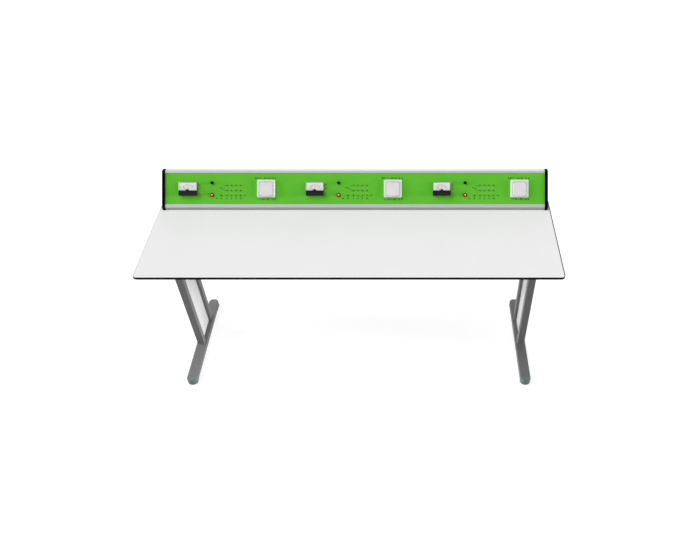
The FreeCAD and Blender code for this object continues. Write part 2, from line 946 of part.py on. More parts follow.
def headed_screw(label, diameter, length, head_diameter, head_height):
    """Screw with a round head, its head below Z zero and its shank above."""
    body = new_body(label)
    head = new_sketch(body, "head_outline")
    draw_shaft(head, ZERO, ZERO, head_diameter / 2, HIDDEN_SIDES)
    pad(body, "head", head, head_height, backwards=True)
    shank = new_sketch(body, "shank_outline")
    draw_shaft(shank, ZERO, ZERO, diameter / 2, HIDDEN_SIDES)
    pad(body, "shank", shank, length)
    return body


def make_worktop_screws():
    length = size.rail_height + size.top_screw_bite
    head = size.top_screw_head_diameter
    screw = headed_screw("top_screw", size.top_screw_diameter, length, head, size.top_screw_head_height)
    group("worktop_screws", screw, [at(x, y, rail_bottom) for x, y in top_screw_places()])


# Console: an extruded profile with end caps, a slide-in fascia and its fixings


def make_console_profile():
    """Hollow extrusion, open along its slope, where two grooves take the fascia."""
    body = new_body("console_profile")
    wall = size.console_wall
    lip = size.strip_lip
    groove = lip + size.fascia_thickness + 2 * size.fascia_gap
    inner = groove + size.strip_inner_lip
    low_end = size.front_strip
    low_root = low_end - size.strip_groove_depth
    high_end = size.console_slope - size.rear_strip
    high_root = high_end + size.strip_groove_depth
    tilt = size.console_tilt
    toe_shift = wall * tangent(tilt / 2)
    inner_low = slope_point(ZERO, -inner)
    wall_low = (wall, inner_low[1] + (wall - inner_low[0]) * tangent(tilt))
    inner_high = slope_point(size.console_slope, -inner)
    ceiling = console_height - wall
    wall_high = (inner_high[0] + (ceiling - inner_high[1]) / tangent(tilt), ceiling)
    section = new_sketch(body, "section", "YZ_Plane")
    draw_polygon(section, (
        (ZERO, ZERO),
        (ZERO, size.console_toe),
        slope_point(low_end, ZERO),
        slope_point(low_end, -lip),
        slope_point(low_root, -lip),
        slope_point(low_root, -groove),
        slope_point(low_end, -groove),
        slope_point(low_end, -inner),
        wall_low,
        (wall, wall),
        (console_depth - wall, wall),
        (console_depth - wall, ceiling),
        wall_high,
        slope_point(high_end, -inner),
        slope_point(high_end, -groove),
        slope_point(high_root, -groove),
        slope_point(high_root, -lip),
        slope_point(high_end, -lip),
        slope_point(high_end, ZERO),
        (slope_run, console_height),
        (console_depth, console_height),
        (console_depth, ZERO),
    ))
    shell = pad(body, "shell", section, size.console_length)

    def on_crest(edge):
        high = lies_at(edge, "z", console_height)
        return runs_along(edge, Vector(1, 0, 0)) and high

    dress(body, "Fillet", "crest_rounding", shell, on_crest, size.console_crest_radius)
    ports = new_sketch(body, "port_outlines", "YZ_Plane")
    for y, z in port_places():
        draw_shaft(ports, y, z, size.port_radius, SMALL_SIDES)
    pad(body, "ports", ports, size.console_length)
    bores = new_sketch(body, "port_bore_outlines", "YZ_Plane")
    for y, z in port_places():
        draw_hole(bores, y, z, size.port_bore_radius, HIDDEN_SIDES)
    pocket(body, "port_bores", bores)
    floor = new_sketch(body, "fixing_outlines")
    for x, y in console_screw_places():
        radius = size.console_screw_diameter / 2 + size.thread_gap
        draw_hole(floor, x + size.console_length / 2, y - console_y, radius, HIDDEN_SIDES)
    pocket(body, "fixing_holes", floor, wall, forwards=True)
    entry = new_sketch(body, "cable_entry_outline")
    half_slot = size.cable_slot_length / 2
    half_width = size.cable_slot_width / 2
    slot_x = size.cable_slot_side + size.console_length / 2
    slot_y = rear_edge - size.cable_slot_setback - console_y
    corner = size.cable_slot_width / 3
    draw_eased(entry, slot_x - half_slot, slot_x + half_slot, slot_y - half_width, slot_y + half_width, corner)
    pocket(body, "cable_entry", entry, wall, forwards=True)
    rear = new_sketch(body, "gland_outline", "XZ_Plane", -console_depth)
    gland_x = size.console_length / 2 - size.gland_side
    draw_hole(rear, gland_x, size.gland_height, size.gland_body_radius + size.panel_hole_gap, SMALL_SIDES)
    pocket(body, "gland_hole", rear, wall, forwards=True)
    place(body, -size.console_length / 2, console_y, size.top_height)
    keep(body)


def port_places():
    """Section places of the three round ports that take the end cap screws."""
    inset = size.console_wall + size.port_inset
    return (
        (inset, inset),
        (console_depth - inset, inset),
        (console_depth - inset, console_height - inset),
    )


def make_end_cap(name, side):
    """Moulded cap with a proud rim that closes one end of the console."""
    body = new_body(f"end_cap_{name}")
    rim = size.end_cap_rim
    shift = rim * tangent(size.console_tilt / 2)
    outline = new_sketch(body, "outline", "YZ_Plane")
    draw_polygon(outline, (
        (-rim, ZERO),
        (-rim, size.console_toe + shift),
        (slope_run - shift, console_height + rim),
        (console_depth + rim, console_height + rim),
        (console_depth + rim, ZERO),
    ))
    plate = pad(body, "plate", outline, size.end_cap_thickness)

    def is_corner(edge):
        lifted = edge.valueAt(edge.FirstParameter).z > size.console_toe.value / 2
        return runs_along(edge, Vector(1, 0, 0)) and lifted

    corners = dress(body, "Fillet", "corners", plate, is_corner, size.end_cap_corner)

    def on_outer_face(edge):
        return lies_at(edge, "x", size.end_cap_thickness) and not lies_at(edge, "z", ZERO)

    dress(body, "Chamfer", "outer_edge", corners, on_outer_face, size.end_cap_edge)
    holes = new_sketch(body, "screw_outlines", "YZ_Plane")
    for y, z in port_places():
        draw_hole(holes, y, z, size.port_bore_radius + size.panel_hole_gap, HIDDEN_SIDES)
    pocket(body, "screw_holes", holes)
    recesses = new_sketch(body, "recess_outlines", "YZ_Plane", size.end_cap_thickness)
    for y, z in port_places():
        draw_hole(recesses, y, z, size.end_cap_recess_diameter / 2, SMALL_SIDES)
    pocket(body, "screw_recesses", recesses, size.end_cap_recess_depth)
    half = size.console_length / 2
    if side > 0:
        place(body, half, console_y, size.top_height)
        return keep(body)
    doc.recompute()
    mirrored = doc.addObject("Part::Mirroring", f"end_cap_{name}_mirrored")
    mirrored.Source = body
    mirrored.Normal = Vector(1, 0, 0)
    body.Label = f"end_cap_{name}_pattern"
    mirrored.Label = f"end_cap_{name}"
    place(mirrored, -half, console_y, size.top_height)
    return keep(mirrored)


def make_end_cap_screws():
    diameter = 2 * (size.port_bore_radius - size.thread_gap)
    head = size.end_cap_screw_head_diameter
    length = size.end_cap_screw_length
    screw = headed_screw("cap_screw", diameter, length, head, size.end_cap_screw_head_height)
    seat = size.console_length / 2 + size.end_cap_thickness - size.end_cap_recess_depth
    placements = []
    for side, turn in ((-1, ALONG_X), (1, Rotation(Vector(0, 1, 0), -90))):
        for y, z in port_places():
            placements.append(at(side * seat, console_y + y, size.top_height + z, turn))
    group("end_cap_screws", screw, placements)


def make_console_screws():
    length = size.top_thickness + size.console_wall + size.console_screw_tail
    head = size.console_screw_head_diameter
    height = size.console_screw_head_height
    screw = headed_screw("console_screw", size.console_screw_diameter, length, head, height)
    group("console_screws", screw, [at(x, y, underside) for x, y in console_screw_places()])


def make_fascia():
    """Printed sheet that slides into the console's grooves, cut out for its fittings."""
    body = new_body("fascia")
    root = size.strip_groove_depth - size.fascia_gap
    low = size.front_strip - root
    high = size.console_slope - size.rear_strip + root
    half = size.console_length / 2
    outline = new_sketch(body, "outline")
    draw_box(outline, -half, half, low, high)
    pad(body, "sheet", outline, size.fascia_thickness, backwards=True)
    first = station_x(0)
    gap = size.panel_hole_gap
    holes = new_sketch(body, "station_outlines")
    draw_hole(holes, first, size.fuse_rise, size.fuse_barrel_radius + gap, SMALL_SIDES)
    draw_hole(holes, first, size.switch_rise, size.switch_body_radius + gap, SMALL_SIDES)
    barrel = size.meter_barrel_radius + size.meter_barrel_gap
    draw_hole(holes, first + size.meter_offset, size.meter_rise, barrel, SEEN_SIDES)
    for x, rise in outlet_places(0, "red") + outlet_places(0, "blue") + outlet_places(0, "black"):
        draw_hole(holes, x, rise, size.outlet_barrel_radius + gap, HIDDEN_SIDES)
    half_box = size.mains_box_size / 2
    mains_x = first + size.mains_offset
    rise = size.mains_rise
    draw_box(holes, mains_x - half_box, mains_x + half_box, rise - half_box, rise + half_box)
    cut = pocket(body, "station_cut_outs", holes, size.fascia_thickness)
    pattern = body.newObject("PartDesign::LinearPattern", "fascia_stations")
    pattern.Originals = [cut]
    pattern.Direction = (origin_feature(body, "X_Axis"), [""])
    pattern.Occurrences = STATION_COUNT
    pattern.Length = ((STATION_COUNT - 1) * size.station_pitch).value
    bind(pattern, "Length", (STATION_COUNT - 1) * size.station_pitch)
    body.Tip = pattern
    place_on_panel(body, ZERO, ZERO)
    keep(body)


def make_supply_modules():
    """Laminated transformer of each station, standing on the console's floor."""
    body = new_body("supply_module")
    half = size.core_width / 2
    window = size.core_window
    depth = size.core_depth
    core = new_sketch(body, "core_outline", "XZ_Plane")
    draw_box(core, -half, half, ZERO, size.core_height)
    pad(body, "core", core, depth)
    coil = new_sketch(body, "coil_outline", "XZ_Plane", -size.winding_overhang)
    draw_box(coil, window - half, half - window, window, size.core_height - window)
    pad(body, "coil", coil, depth + 2 * size.winding_overhang)
    y = console_y + console_depth - size.console_wall - size.core_rear_gap - size.winding_overhang
    z = size.top_height + size.console_wall
    placements = [at(station_x(station) + size.core_offset, y, z) for station in range(STATION_COUNT)]
    group("supply_modules", body, placements)


def make_supply_gland():
    """Blanked cable gland in the console's rear wall."""
    body = new_body("supply_gland")
    nut = new_sketch(body, "nut_outline")
    draw_hexagon(nut, size.gland_nut_across)
    pad(body, "nut", nut, size.gland_nut_height)
    dome = new_sketch(body, "dome_outline", "XY_Plane", size.gland_nut_height)
    draw_shaft(dome, ZERO, ZERO, size.gland_dome_radius, SEEN_SIDES)
    pad(body, "dome", dome, size.gland_dome_length)
    seal = new_sketch(body, "seal_outline", "XY_Plane", size.gland_nut_height + size.gland_dome_length)
    draw_hole(seal, ZERO, ZERO, size.gland_seal_radius, SEEN_SIDES)
    pocket(body, "seal_recess", seal, size.gland_seal_recess)
    tail = new_sketch(body, "tail_outline")
    draw_shaft(tail, ZERO, ZERO, size.gland_body_radius, SMALL_SIDES)
    pad(body, "tail", tail, size.gland_tail, backwards=True)
    y = console_y + console_depth
    place(body, -size.gland_side, y, size.top_height + size.gland_height, ALONG_Y)
    keep(body)


# Station fittings: local Z points out of the fascia, local Y up the slope


def meter_levels():
    """Local Y of a meter's lower edge, skirt top, pivot and upper edge."""
    low = -size.meter_height / 2
    skirt = low + size.meter_skirt
    return low, skirt, skirt - size.meter_pivot_drop, size.meter_height / 2


def make_meter_case(number, x):
    """Black case: base, hollow skirt over the pivot, and the barrel behind the fascia."""
    body = new_body(f"meter_case_{number}")
    low, skirt, pivot, high = meter_levels()
    half = size.meter_width / 2
    wall = size.meter_wall
    base = new_sketch(body, "base_outline")
    draw_eased(base, -half, half, low, high, size.meter_corner, 1)
    pad(body, "base", base, size.meter_base)
    front = new_sketch(body, "skirt_outline", "XY_Plane", size.meter_base)
    draw_box(front, -half, half, low, skirt)
    pad(body, "skirt", front, size.meter_depth - size.meter_base)
    hollow = new_sketch(body, "skirt_hollow_outline", "XY_Plane", size.meter_depth - wall)
    draw_box(hollow, wall - half, half - wall, low + wall, skirt)
    pocket(body, "skirt_hollow", hollow, size.meter_depth - wall - size.meter_base)
    boss = new_sketch(body, "boss_outline", "XY_Plane", size.meter_depth)
    draw_shaft(boss, ZERO, skirt - size.meter_wall, size.meter_boss_radius, SEEN_SIDES)
    pad(body, "boss", boss, size.meter_boss_height)
    barrel = new_sketch(body, "barrel_outline")
    draw_shaft(barrel, ZERO, ZERO, size.meter_barrel_radius, SEEN_SIDES)
    pad(body, "barrel", barrel, size.meter_barrel_depth, backwards=True)
    bore = new_sketch(body, "barrel_bore_outline", "XY_Plane", wall - size.meter_barrel_depth)
    draw_shaft(bore, ZERO, ZERO, size.meter_barrel_radius - wall, SEEN_SIDES)
    pocket(body, "barrel_bore", bore, size.meter_barrel_depth - wall, forwards=True)
    window = new_sketch(body, "pivot_outline", "XY_Plane", size.meter_base)
    draw_hole(window, ZERO, pivot, size.meter_pivot_opening, SMALL_SIDES)
    pocket(body, "pivot_opening", window, size.meter_base)
    place_on_panel(body, x + size.meter_offset, size.meter_rise)
    keep(body)


def meter_placements():
    return station_places(size.meter_offset, size.meter_rise)


def make_meter_covers():
    """Clear covers over the dials, open to the dial and to the skirt."""
    body = new_body("meter_cover")
    low, skirt, pivot, high = meter_levels()
    half = size.meter_width / 2
    wall = size.meter_wall
    block = new_sketch(body, "block_outline", "XY_Plane", size.meter_base)
    draw_box(block, -half, half, skirt, high)
    pad(body, "block", block, size.meter_depth - size.meter_base)
    room = new_sketch(body, "room_outline", "XY_Plane", size.meter_base)
    draw_box(room, wall - half, half - wall, skirt - wall, high - wall)
    pocket(body, "room", room, size.meter_depth - size.meter_base - wall, forwards=True)
    group("meter_covers", body, meter_placements())


def make_meter_dials():
    body = new_body("meter_dial")
    low, skirt, pivot, high = meter_levels()
    gap = size.meter_dial_gap
    half = size.meter_width / 2 - size.meter_wall - gap
    outline = new_sketch(body, "outline", "XY_Plane", size.meter_base)
    draw_box(outline, -half, half, skirt + gap, high - size.meter_wall - gap)
    pad(body, "plate", outline, size.meter_dial_thickness)
    group("meter_dials", body, meter_placements())


def needle_level():
    """Height of the needle's hub over the fascia."""
    return size.meter_base + size.meter_dial_thickness + size.needle_hub_gap + size.needle_hub_gap


def make_meter_movements():
    """Magnet and coil housing with the pin that the needle turns on."""
    body = new_body("meter_movement")
    low, skirt, pivot, high = meter_levels()
    back = size.meter_wall - size.meter_barrel_depth
    housing = new_sketch(body, "housing_outline", "XY_Plane", back)
    draw_shaft(housing, ZERO, ZERO, size.movement_radius, SEEN_SIDES)
    pad(body, "housing", housing, size.movement_length)
    shoulder_start = back + size.movement_length
    shoulder_top = needle_level() - size.needle_hub_gap
    shoulder = new_sketch(body, "shoulder_outline", "XY_Plane", shoulder_start)
    draw_shaft(shoulder, ZERO, pivot, size.movement_shoulder_radius, HIDDEN_SIDES)
    pad(body, "shoulder", shoulder, shoulder_top - shoulder_start)
    pin = new_sketch(body, "pin_outline", "XY_Plane", shoulder_top)
    draw_circle(pin, ZERO, pivot, size.movement_pin_radius)
    pad(body, "pin", pin, size.movement_pin_length)
    group("meter_movements", body, meter_placements())


def make_meter_needle(number, x):
    """Pointer with a hub, drawn along local Y and turned back to its zero."""
    body = new_body(f"meter_needle_{number}")
    low, skirt, pivot, high = meter_levels()
    level = needle_level()
    hub = new_sketch(body, "hub_outline", "XY_Plane", level)
    draw_shaft(hub, ZERO, ZERO, size.needle_hub_radius, SMALL_SIDES)
    pad(body, "hub", hub, size.needle_hub_height)
    root = size.needle_root / 2
    tip = size.needle_tip / 2
    blade = new_sketch(body, "blade_outline", "XY_Plane", level + size.needle_hub_height - size.needle_sheet)
    tail = -size.needle_tail
    reach = size.needle_reach
    draw_polygon(blade, ((-root, tail), (root, tail), (tip, reach), (-tip, reach)))
    pad(body, "blade", blade, size.needle_sheet)
    bore = new_sketch(body, "bore_outline")
    draw_hole(bore, ZERO, ZERO, size.movement_pin_radius + size.needle_clearance, SMALL_SIDES)
    pocket(body, "bore", bore)
    place_on_panel(body, x + size.meter_offset, size.meter_rise + pivot, size.needle_start_angle.value)
    keep(body)


def make_fuse_holders():
    """Panel fuse holders: flange, barrel behind the fascia and its nut."""
    body = new_body("fuse_holder")
    flange = new_sketch(body, "flange_outline")
    draw_shaft(flange, ZERO, ZERO, size.fuse_flange_radius, SEEN_SIDES)
    pad(body, "flange", flange, size.fuse_flange_height)
    barrel = new_sketch(body, "barrel_outline")
    draw_shaft(barrel, ZERO, ZERO, size.fuse_barrel_radius, SMALL_SIDES)
    pad(body, "barrel", barrel, size.fuse_barrel_length, backwards=True)
    nut = new_sketch(body, "nut_outline", "XY_Plane", -size.fascia_thickness)
    draw_hexagon(nut, 2 * size.fuse_nut_radius)
    pad(body, "nut", nut, size.fuse_nut_height, backwards=True)
    bore = new_sketch(body, "bore_outline", "XY_Plane", size.fuse_flange_height)
    draw_hole(bore, ZERO, ZERO, size.fuse_bore_radius, SMALL_SIDES)
    pocket(body, "bore", bore, size.fuse_bore_length + size.fuse_flange_height)
    group("fuse_holders", body, station_places(ZERO, size.fuse_rise))


def make_fuse_cap(number, x):
    """Bayonet cap with a coin slot, which holds the fuse in its stem."""
    body = new_body(f"fuse_cap_{number}")
    foot = size.fuse_flange_height + size.fuse_cap_gap
    head = new_sketch(body, "head_outline", "XY_Plane", foot)
    draw_shaft(head, ZERO, ZERO, size.fuse_cap_radius, SEEN_SIDES)
    knob = pad(body, "head", head, size.fuse_cap_height)
    top = foot + size.fuse_cap_height

    def on_top(edge):
        return lies_at(edge, "z", top)

    dress(body, "Chamfer", "head_chamfer", knob, on_top, size.fuse_cap_chamfer)
    stem = new_sketch(body, "stem_outline", "XY_Plane", foot)
    draw_circle(stem, ZERO, ZERO, size.fuse_bore_radius - size.fuse_cap_gap)
    pad(body, "stem", stem, foot + size.fuse_stem_length, backwards=True)
    slot = new_sketch(body, "slot_outline", "XY_Plane", top)
    half = size.fuse_slot_width / 2
    reach = size.fuse_cap_radius + size.fuse_cap_gap
    draw_box(slot, -reach, reach, -half, half)
    pocket(body, "slot", slot, size.fuse_slot_depth)
    place_on_panel(body, x, size.fuse_rise)
    keep(body)


def make_switch_housings():
    """Push switch housings: red bezel in front and body behind the fascia."""
    body = new_body("switch_housing")
    bezel = new_sketch(body, "bezel_outline")
    draw_shaft(bezel, ZERO, ZERO, size.switch_bezel_radius, SEEN_SIDES)
    ring = pad(body, "bezel", bezel, size.switch_bezel_height)

    def on_top(edge):
        return lies_at(edge, "z", size.switch_bezel_height)

    dress(body, "Chamfer", "bezel_chamfer", ring, on_top, size.switch_bezel_chamfer)
    case = new_sketch(body, "case_outline")
    draw_shaft(case, ZERO, ZERO, size.switch_body_radius, SMALL_SIDES)
    pad(body, "case", case, size.switch_body_length, backwards=True)
    bore = new_sketch(body, "bore_outline", "XY_Plane", size.switch_bezel_height)
    draw_hole(bore, ZERO, ZERO, size.switch_bore_radius, SEEN_SIDES)
    pocket(body, "bore", bore, size.switch_bore_depth)
    group("switch_housings", body, station_places(ZERO, size.switch_rise))


def make_switch_button(number, x):
    """Lit push button that travels in its housing's bore."""
    body = new_body(f"switch_button_{number}")
    top = size.switch_bezel_height + size.switch_button_rise
    face = new_sketch(body, "face_outline", "XY_Plane", top)
    draw_shaft(face, ZERO, ZERO, size.switch_button_radius, SEEN_SIDES)
    plunger = pad(body, "plunger", face, size.switch_button_length, backwards=True)

    def on_top(edge):
        return lies_at(edge, "z", top)

    dress(body, "Chamfer", "face_chamfer", plunger, on_top, size.switch_button_chamfer)
    place_on_panel(body, x, size.switch_rise)
    keep(body)


def outlet_places(station, colour):
    """Panel places of one station's low voltage sockets of one colour."""
    x = station_x(station)
    if colour == "black":
        return [(x + size.zero_outlet_offset, size.lower_outlet_rise)]
    start = x + size.outlet_column_start
    columns = [start + column * size.outlet_column_pitch for column in range(OUTLET_COLUMNS)]
    if colour == "blue":
        return [(column, size.middle_outlet_rise) for column in columns]
    return [(column, rise) for rise in (size.upper_outlet_rise, size.lower_outlet_rise) for column in columns]


def make_outlets():
    """Four millimetre sockets: red and blue pairs, and one black per station."""
    body = new_body("outlet")
    flange = new_sketch(body, "flange_outline")
    draw_shaft(flange, ZERO, ZERO, size.outlet_flange_radius, HIDDEN_SIDES)
    pad(body, "flange", flange, size.outlet_flange_height)
    barrel = new_sketch(body, "barrel_outline")
    draw_shaft(barrel, ZERO, ZERO, size.outlet_barrel_radius, HIDDEN_SIDES)
    pad(body, "barrel", barrel, size.outlet_barrel_length, backwards=True)
    bore = new_sketch(body, "bore_outline", "XY_Plane", size.outlet_flange_height)
    draw_hole(bore, ZERO, ZERO, size.outlet_bore_radius, HIDDEN_SIDES)
    pocket(body, "bore", bore, size.outlet_bore_length)
    for colour in ("red", "blue", "black"):
        placements = []
        for station in range(STATION_COUNT):
            placements += [on_panel(x, rise) for x, rise in outlet_places(station, colour)]
        group(f"{colour}_outlets", body, placements)


def make_mains_plate(number, x):
    """Square socket plate with an opening for the lid and two hinge lugs."""
    body = new_body(f"mains_plate_{number}")
    half = size.mains_plate_size / 2
    thickness = size.mains_plate_thickness
    outline = new_sketch(body, "outline")
    draw_eased(outline, -half, half, -half, half, size.mains_plate_corner)
    plate = pad(body, "plate", outline, thickness)

    def on_front(edge):
        return lies_at(edge, "z", thickness)

    dress(body, "Chamfer", "front_edge", plate, on_front, size.mains_plate_edge)
    opening = new_sketch(body, "opening_outline")
    wide = size.mains_opening_width / 2
    draw_box(opening, -wide, wide, -size.mains_opening_low, size.mains_opening_high)
    pocket(body, "opening", opening)
    lugs = new_sketch(body, "lug_outlines")
    inner = size.hinge_barrel_reach + size.hinge_lug_gap
    low_y = size.hinge_rise - size.hinge_lug_radius
    draw_box(lugs, -wide, -inner, low_y, size.mains_opening_high)
    draw_box(lugs, inner, wide, low_y, size.mains_opening_high)
    pad(body, "lugs", lugs, size.hinge_height)
    for name, start in (("near", -wide), ("far", inner)):
        eye = new_sketch(body, f"{name}_eye_outline", "YZ_Plane", start)
        draw_shaft(eye, size.hinge_rise, size.hinge_height, size.hinge_lug_radius, SMALL_SIDES)
        pad(body, f"{name}_eye", eye, wide - inner)
    bore = new_sketch(body, "pin_outline", "YZ_Plane", -size.hinge_pin_reach)
    seat = size.hinge_pin_radius + size.hinge_seat_gap
    draw_hole(bore, size.hinge_rise, size.hinge_height, seat, SMALL_SIDES)
    pocket(body, "pin_bore", bore, 2 * size.hinge_pin_reach, forwards=True)
    place_on_panel(body, x + size.mains_offset, size.mains_rise)
    keep(body)


def mains_placements():
    return station_places(size.mains_offset, size.mains_rise)


def make_mains_inserts():
    """Earthed socket inserts with a round recess and two pin holes."""
    body = new_body("mains_insert")
    wide = size.mains_opening_width / 2
    face = size.mains_insert_face
    flange = new_sketch(body, "flange_outline")
    draw_box(flange, -wide, wide, -size.mains_opening_low, size.mains_insert_top)
    pad(body, "flange", flange, face)
    half_box = size.mains_box_size / 2 - size.mains_box_gap
    box = new_sketch(body, "box_outline")
    draw_box(box, -half_box, half_box, -half_box, half_box)
    pad(body, "box", box, size.mains_box_depth, backwards=True)
    recess = new_sketch(body, "recess_outline", "XY_Plane", face)
    draw_hole(recess, ZERO, ZERO, size.mains_recess_radius, RECESS_SIDES)
    pocket(body, "recess", recess, size.mains_recess_depth)
    keys = new_sketch(body, "key_outline", "XY_Plane", face)
    reach = size.mains_recess_radius + size.mains_key_reach
    draw_box(keys, -reach, reach, -size.mains_key_width / 2, size.mains_key_width / 2)
    pocket(body, "side_keys", keys, size.mains_recess_depth)
    pins = new_sketch(body, "pin_outlines", "XY_Plane", face - size.mains_recess_depth)
    for side in (-1, 1):
        draw_hole(pins, side * size.mains_pin_spacing / 2, ZERO, size.mains_pin_hole_radius, SMALL_SIDES)
    pocket(body, "pin_holes", pins, size.mains_pin_hole_depth)
    group("mains_inserts", body, mains_placements())


def make_earth_clips():
    """Sprung earth contacts, one at each end of every recess."""
    body = new_body("earth_clip")
    half = size.earth_clip_width / 2
    section = new_sketch(body, "section", "XY_Plane", size.mains_insert_face - size.mains_recess_depth)
    outer = size.mains_recess_radius - size.earth_clip_gap
    draw_box(section, -half, half, outer - size.earth_clip_sheet, outer)
    pad(body, "strip", section, size.earth_clip_length)
    placements = []
    for placement in mains_placements():
        placements.append(placement)
        placements.append(placement.multiply(Placement(Vector(), Rotation(Vector(0, 0, 1), 180))))
    group("earth_clips", body, placements)


def make_lid(number, x):
    """Hinged lid with a finger lip, its barrel split for the closing spring."""
    body = new_body(f"mains_lid_{number}")
    half = size.lid_width / 2
    back = size.mains_insert_face + size.lid_seat_gap
    outline = new_sketch(body, "outline", "XY_Plane", back)
    draw_eased(outline, -half, half, -size.lid_low, size.lid_high, size.lid_corner)
    plate = pad(body, "plate", outline, size.lid_thickness)

    def on_front(edge):
        return lies_at(edge, "z", back + size.lid_thickness)

    dress(body, "Chamfer", "front_edge", plate, on_front, size.lid_edge)
    lip = new_sketch(body, "lip_outline", "XY_Plane", back)
    half_lip = size.lid_lip_width / 2
    draw_box(lip, -half_lip, half_lip, -size.lid_low - size.lid_lip_depth, -size.lid_low + size.lid_edge)
    pad(body, "lip", lip, size.lid_lip_height)
    inner = size.hinge_spring_reach + size.hinge_spring_gap
    reach = size.hinge_barrel_reach
    webs = new_sketch(body, "web_outlines", "XY_Plane", size.hinge_height)
    for side in (-1, 1):
        low_x = side * inner if side > 0 else side * reach
        high_x = side * reach if side > 0 else side * inner
        draw_box(webs, low_x, high_x, size.lid_high - size.lid_edge, size.hinge_rise)
    pad(body, "webs", webs, size.hinge_barrel_radius)
    for side in ("near", "far"):
        start = inner if side == "far" else -reach
        barrel = new_sketch(body, f"{side}_barrel_outline", "YZ_Plane", start)
        draw_shaft(barrel, size.hinge_rise, size.hinge_height, size.hinge_barrel_radius, SMALL_SIDES)
        pad(body, f"{side}_barrel", barrel, reach - inner)
    bore = new_sketch(body, "bore_outline", "YZ_Plane")
    running = size.hinge_pin_radius + size.hinge_running_gap
    draw_hole(bore, size.hinge_rise, size.hinge_height, running, SMALL_SIDES)
    pocket(body, "bore", bore)
    place_on_panel(body, x + size.mains_offset, size.mains_rise)
    keep(body)


def make_hinge_pins():
    body = new_body("hinge_pin")
    section = new_sketch(body, "section", "YZ_Plane", -size.hinge_pin_reach)
    draw_circle(section, size.hinge_rise, size.hinge_height, size.hinge_pin_radius)
    pad(body, "rod", section, 2 * size.hinge_pin_reach)
    group("hinge_pins", body, mains_placements())


def make_lid_springs():
    """Closing springs, each a sleeve of its coil's outer and inner size."""
    body = new_body("lid_spring")
    section = new_sketch(body, "section", "YZ_Plane", -size.hinge_spring_reach)
    draw_shaft(section, size.hinge_rise, size.hinge_height, size.hinge_spring_radius, SMALL_SIDES)
    seat = size.hinge_pin_radius + size.hinge_seat_gap
    draw_hole(section, size.hinge_rise, size.hinge_height, seat, SMALL_SIDES)
    pad(body, "coil", section, 2 * size.hinge_spring_reach)
    group("lid_springs", body, mains_placements())


def build_table():
    make_worktop()
    for name, side in SIDES:
        make_foot_tube(name, side)
        make_upright(f"front_upright_{name}", side, front_upright_y)
        make_upright(f"rear_upright_{name}", side, rear_upright_y)
        make_top_rail(name, side)
        make_infill_panel(name, side)
        make_foot_cap(f"foot_cap_front_{name}", side, -1)
        make_foot_cap(f"foot_cap_rear_{name}", side, 1)
    make_rail_plugs()
    make_infill_brackets()
    make_crossbeam("crossbeam_front", front_beam_y)
    make_crossbeam("crossbeam_rear", rear_beam_y)
    make_beam_bolts()
    make_worktop_screws()


def build_console():
    make_console_profile()
    for name, side in SIDES:
        make_end_cap(name, side)
    make_end_cap_screws()
    make_console_screws()
    make_fascia()
    make_supply_modules()
    make_supply_gland()


def build_stations():
    for station in range(STATION_COUNT):
        number = station + 1
        x = station_x(station)
        make_meter_case(number, x)
        make_meter_needle(number, x)
        make_fuse_cap(number, x)
        make_switch_button(number, x)
        make_mains_plate(number, x)
        make_lid(number, x)
    make_meter_covers()
    make_meter_dials()
    make_meter_movements()
    make_fuse_holders()
    make_switch_housings()
    make_outlets()
    make_mains_inserts()
    make_earth_clips()
    make_hinge_pins()
    make_lid_springs()


def check_document():
    """Stop if any object failed to compute or any sub-part has a bad shape."""
    for item in doc.Objects:
        if "Invalid" in item.State or "Error" in item.State:
            raise RuntimeError(f"{item.Label} is {item.State}")
    for label, item in kept.items():
        shape = item.Shape
        if shape.isNull() or not shape.isValid() or not shape.Solids:
            raise RuntimeError(f"{label} has no valid solid")


def write_parts():
    os.makedirs("parts", exist_ok=True)
    for label, item in kept.items():
        item.Shape.exportStep(f"parts/{label}.step")
    print(f"{len(kept)} parts written")


build_table()
build_console()
build_stations()
doc.recompute()
check_document()
write_parts()
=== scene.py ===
"""Science bench with a sloped supply console: finishes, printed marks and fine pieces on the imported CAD."""
from __future__ import annotations

import logging
import math
from collections.abc import Callable, Iterable, Sequence
from dataclasses import dataclass, field
from enum import Enum
from functools import cache
from typing import Any

import bpy
from mathutils import Matrix, Vector


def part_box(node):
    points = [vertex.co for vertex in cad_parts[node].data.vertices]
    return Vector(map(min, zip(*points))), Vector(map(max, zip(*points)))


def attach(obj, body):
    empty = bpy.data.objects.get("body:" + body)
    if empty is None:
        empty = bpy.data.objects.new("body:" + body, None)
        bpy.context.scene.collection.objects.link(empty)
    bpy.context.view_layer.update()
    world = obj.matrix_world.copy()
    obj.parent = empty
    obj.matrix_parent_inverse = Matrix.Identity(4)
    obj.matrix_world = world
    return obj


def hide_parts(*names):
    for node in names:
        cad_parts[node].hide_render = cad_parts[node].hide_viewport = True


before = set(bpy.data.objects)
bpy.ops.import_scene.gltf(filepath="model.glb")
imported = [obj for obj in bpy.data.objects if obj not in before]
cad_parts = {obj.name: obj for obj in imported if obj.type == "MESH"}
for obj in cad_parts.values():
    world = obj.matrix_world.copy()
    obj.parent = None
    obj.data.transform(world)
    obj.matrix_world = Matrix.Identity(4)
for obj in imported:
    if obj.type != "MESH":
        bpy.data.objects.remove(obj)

log = logging.getLogger("bench")

MILLIMETRE = 0.001
STATIONS = (1, 2, 3)
BENCH = "table"
SLOPE = math.radians(45.0)
QUARTER_TURN = math.pi / 2.0
FULL_TURN = 2.0 * math.pi
# Radius in millimetres of the small flat that closes a turned piece on its axis.
AXIS = 0.05
# Thickness of a print in millimetres.
PRINT = 0.03


class Side(Enum):
    """The two ends of the bench."""

    LEFT = "left"
    RIGHT = "right"


class End(Enum):
    """The two ends of a foot."""

    FRONT = "front"
    REAR = "rear"


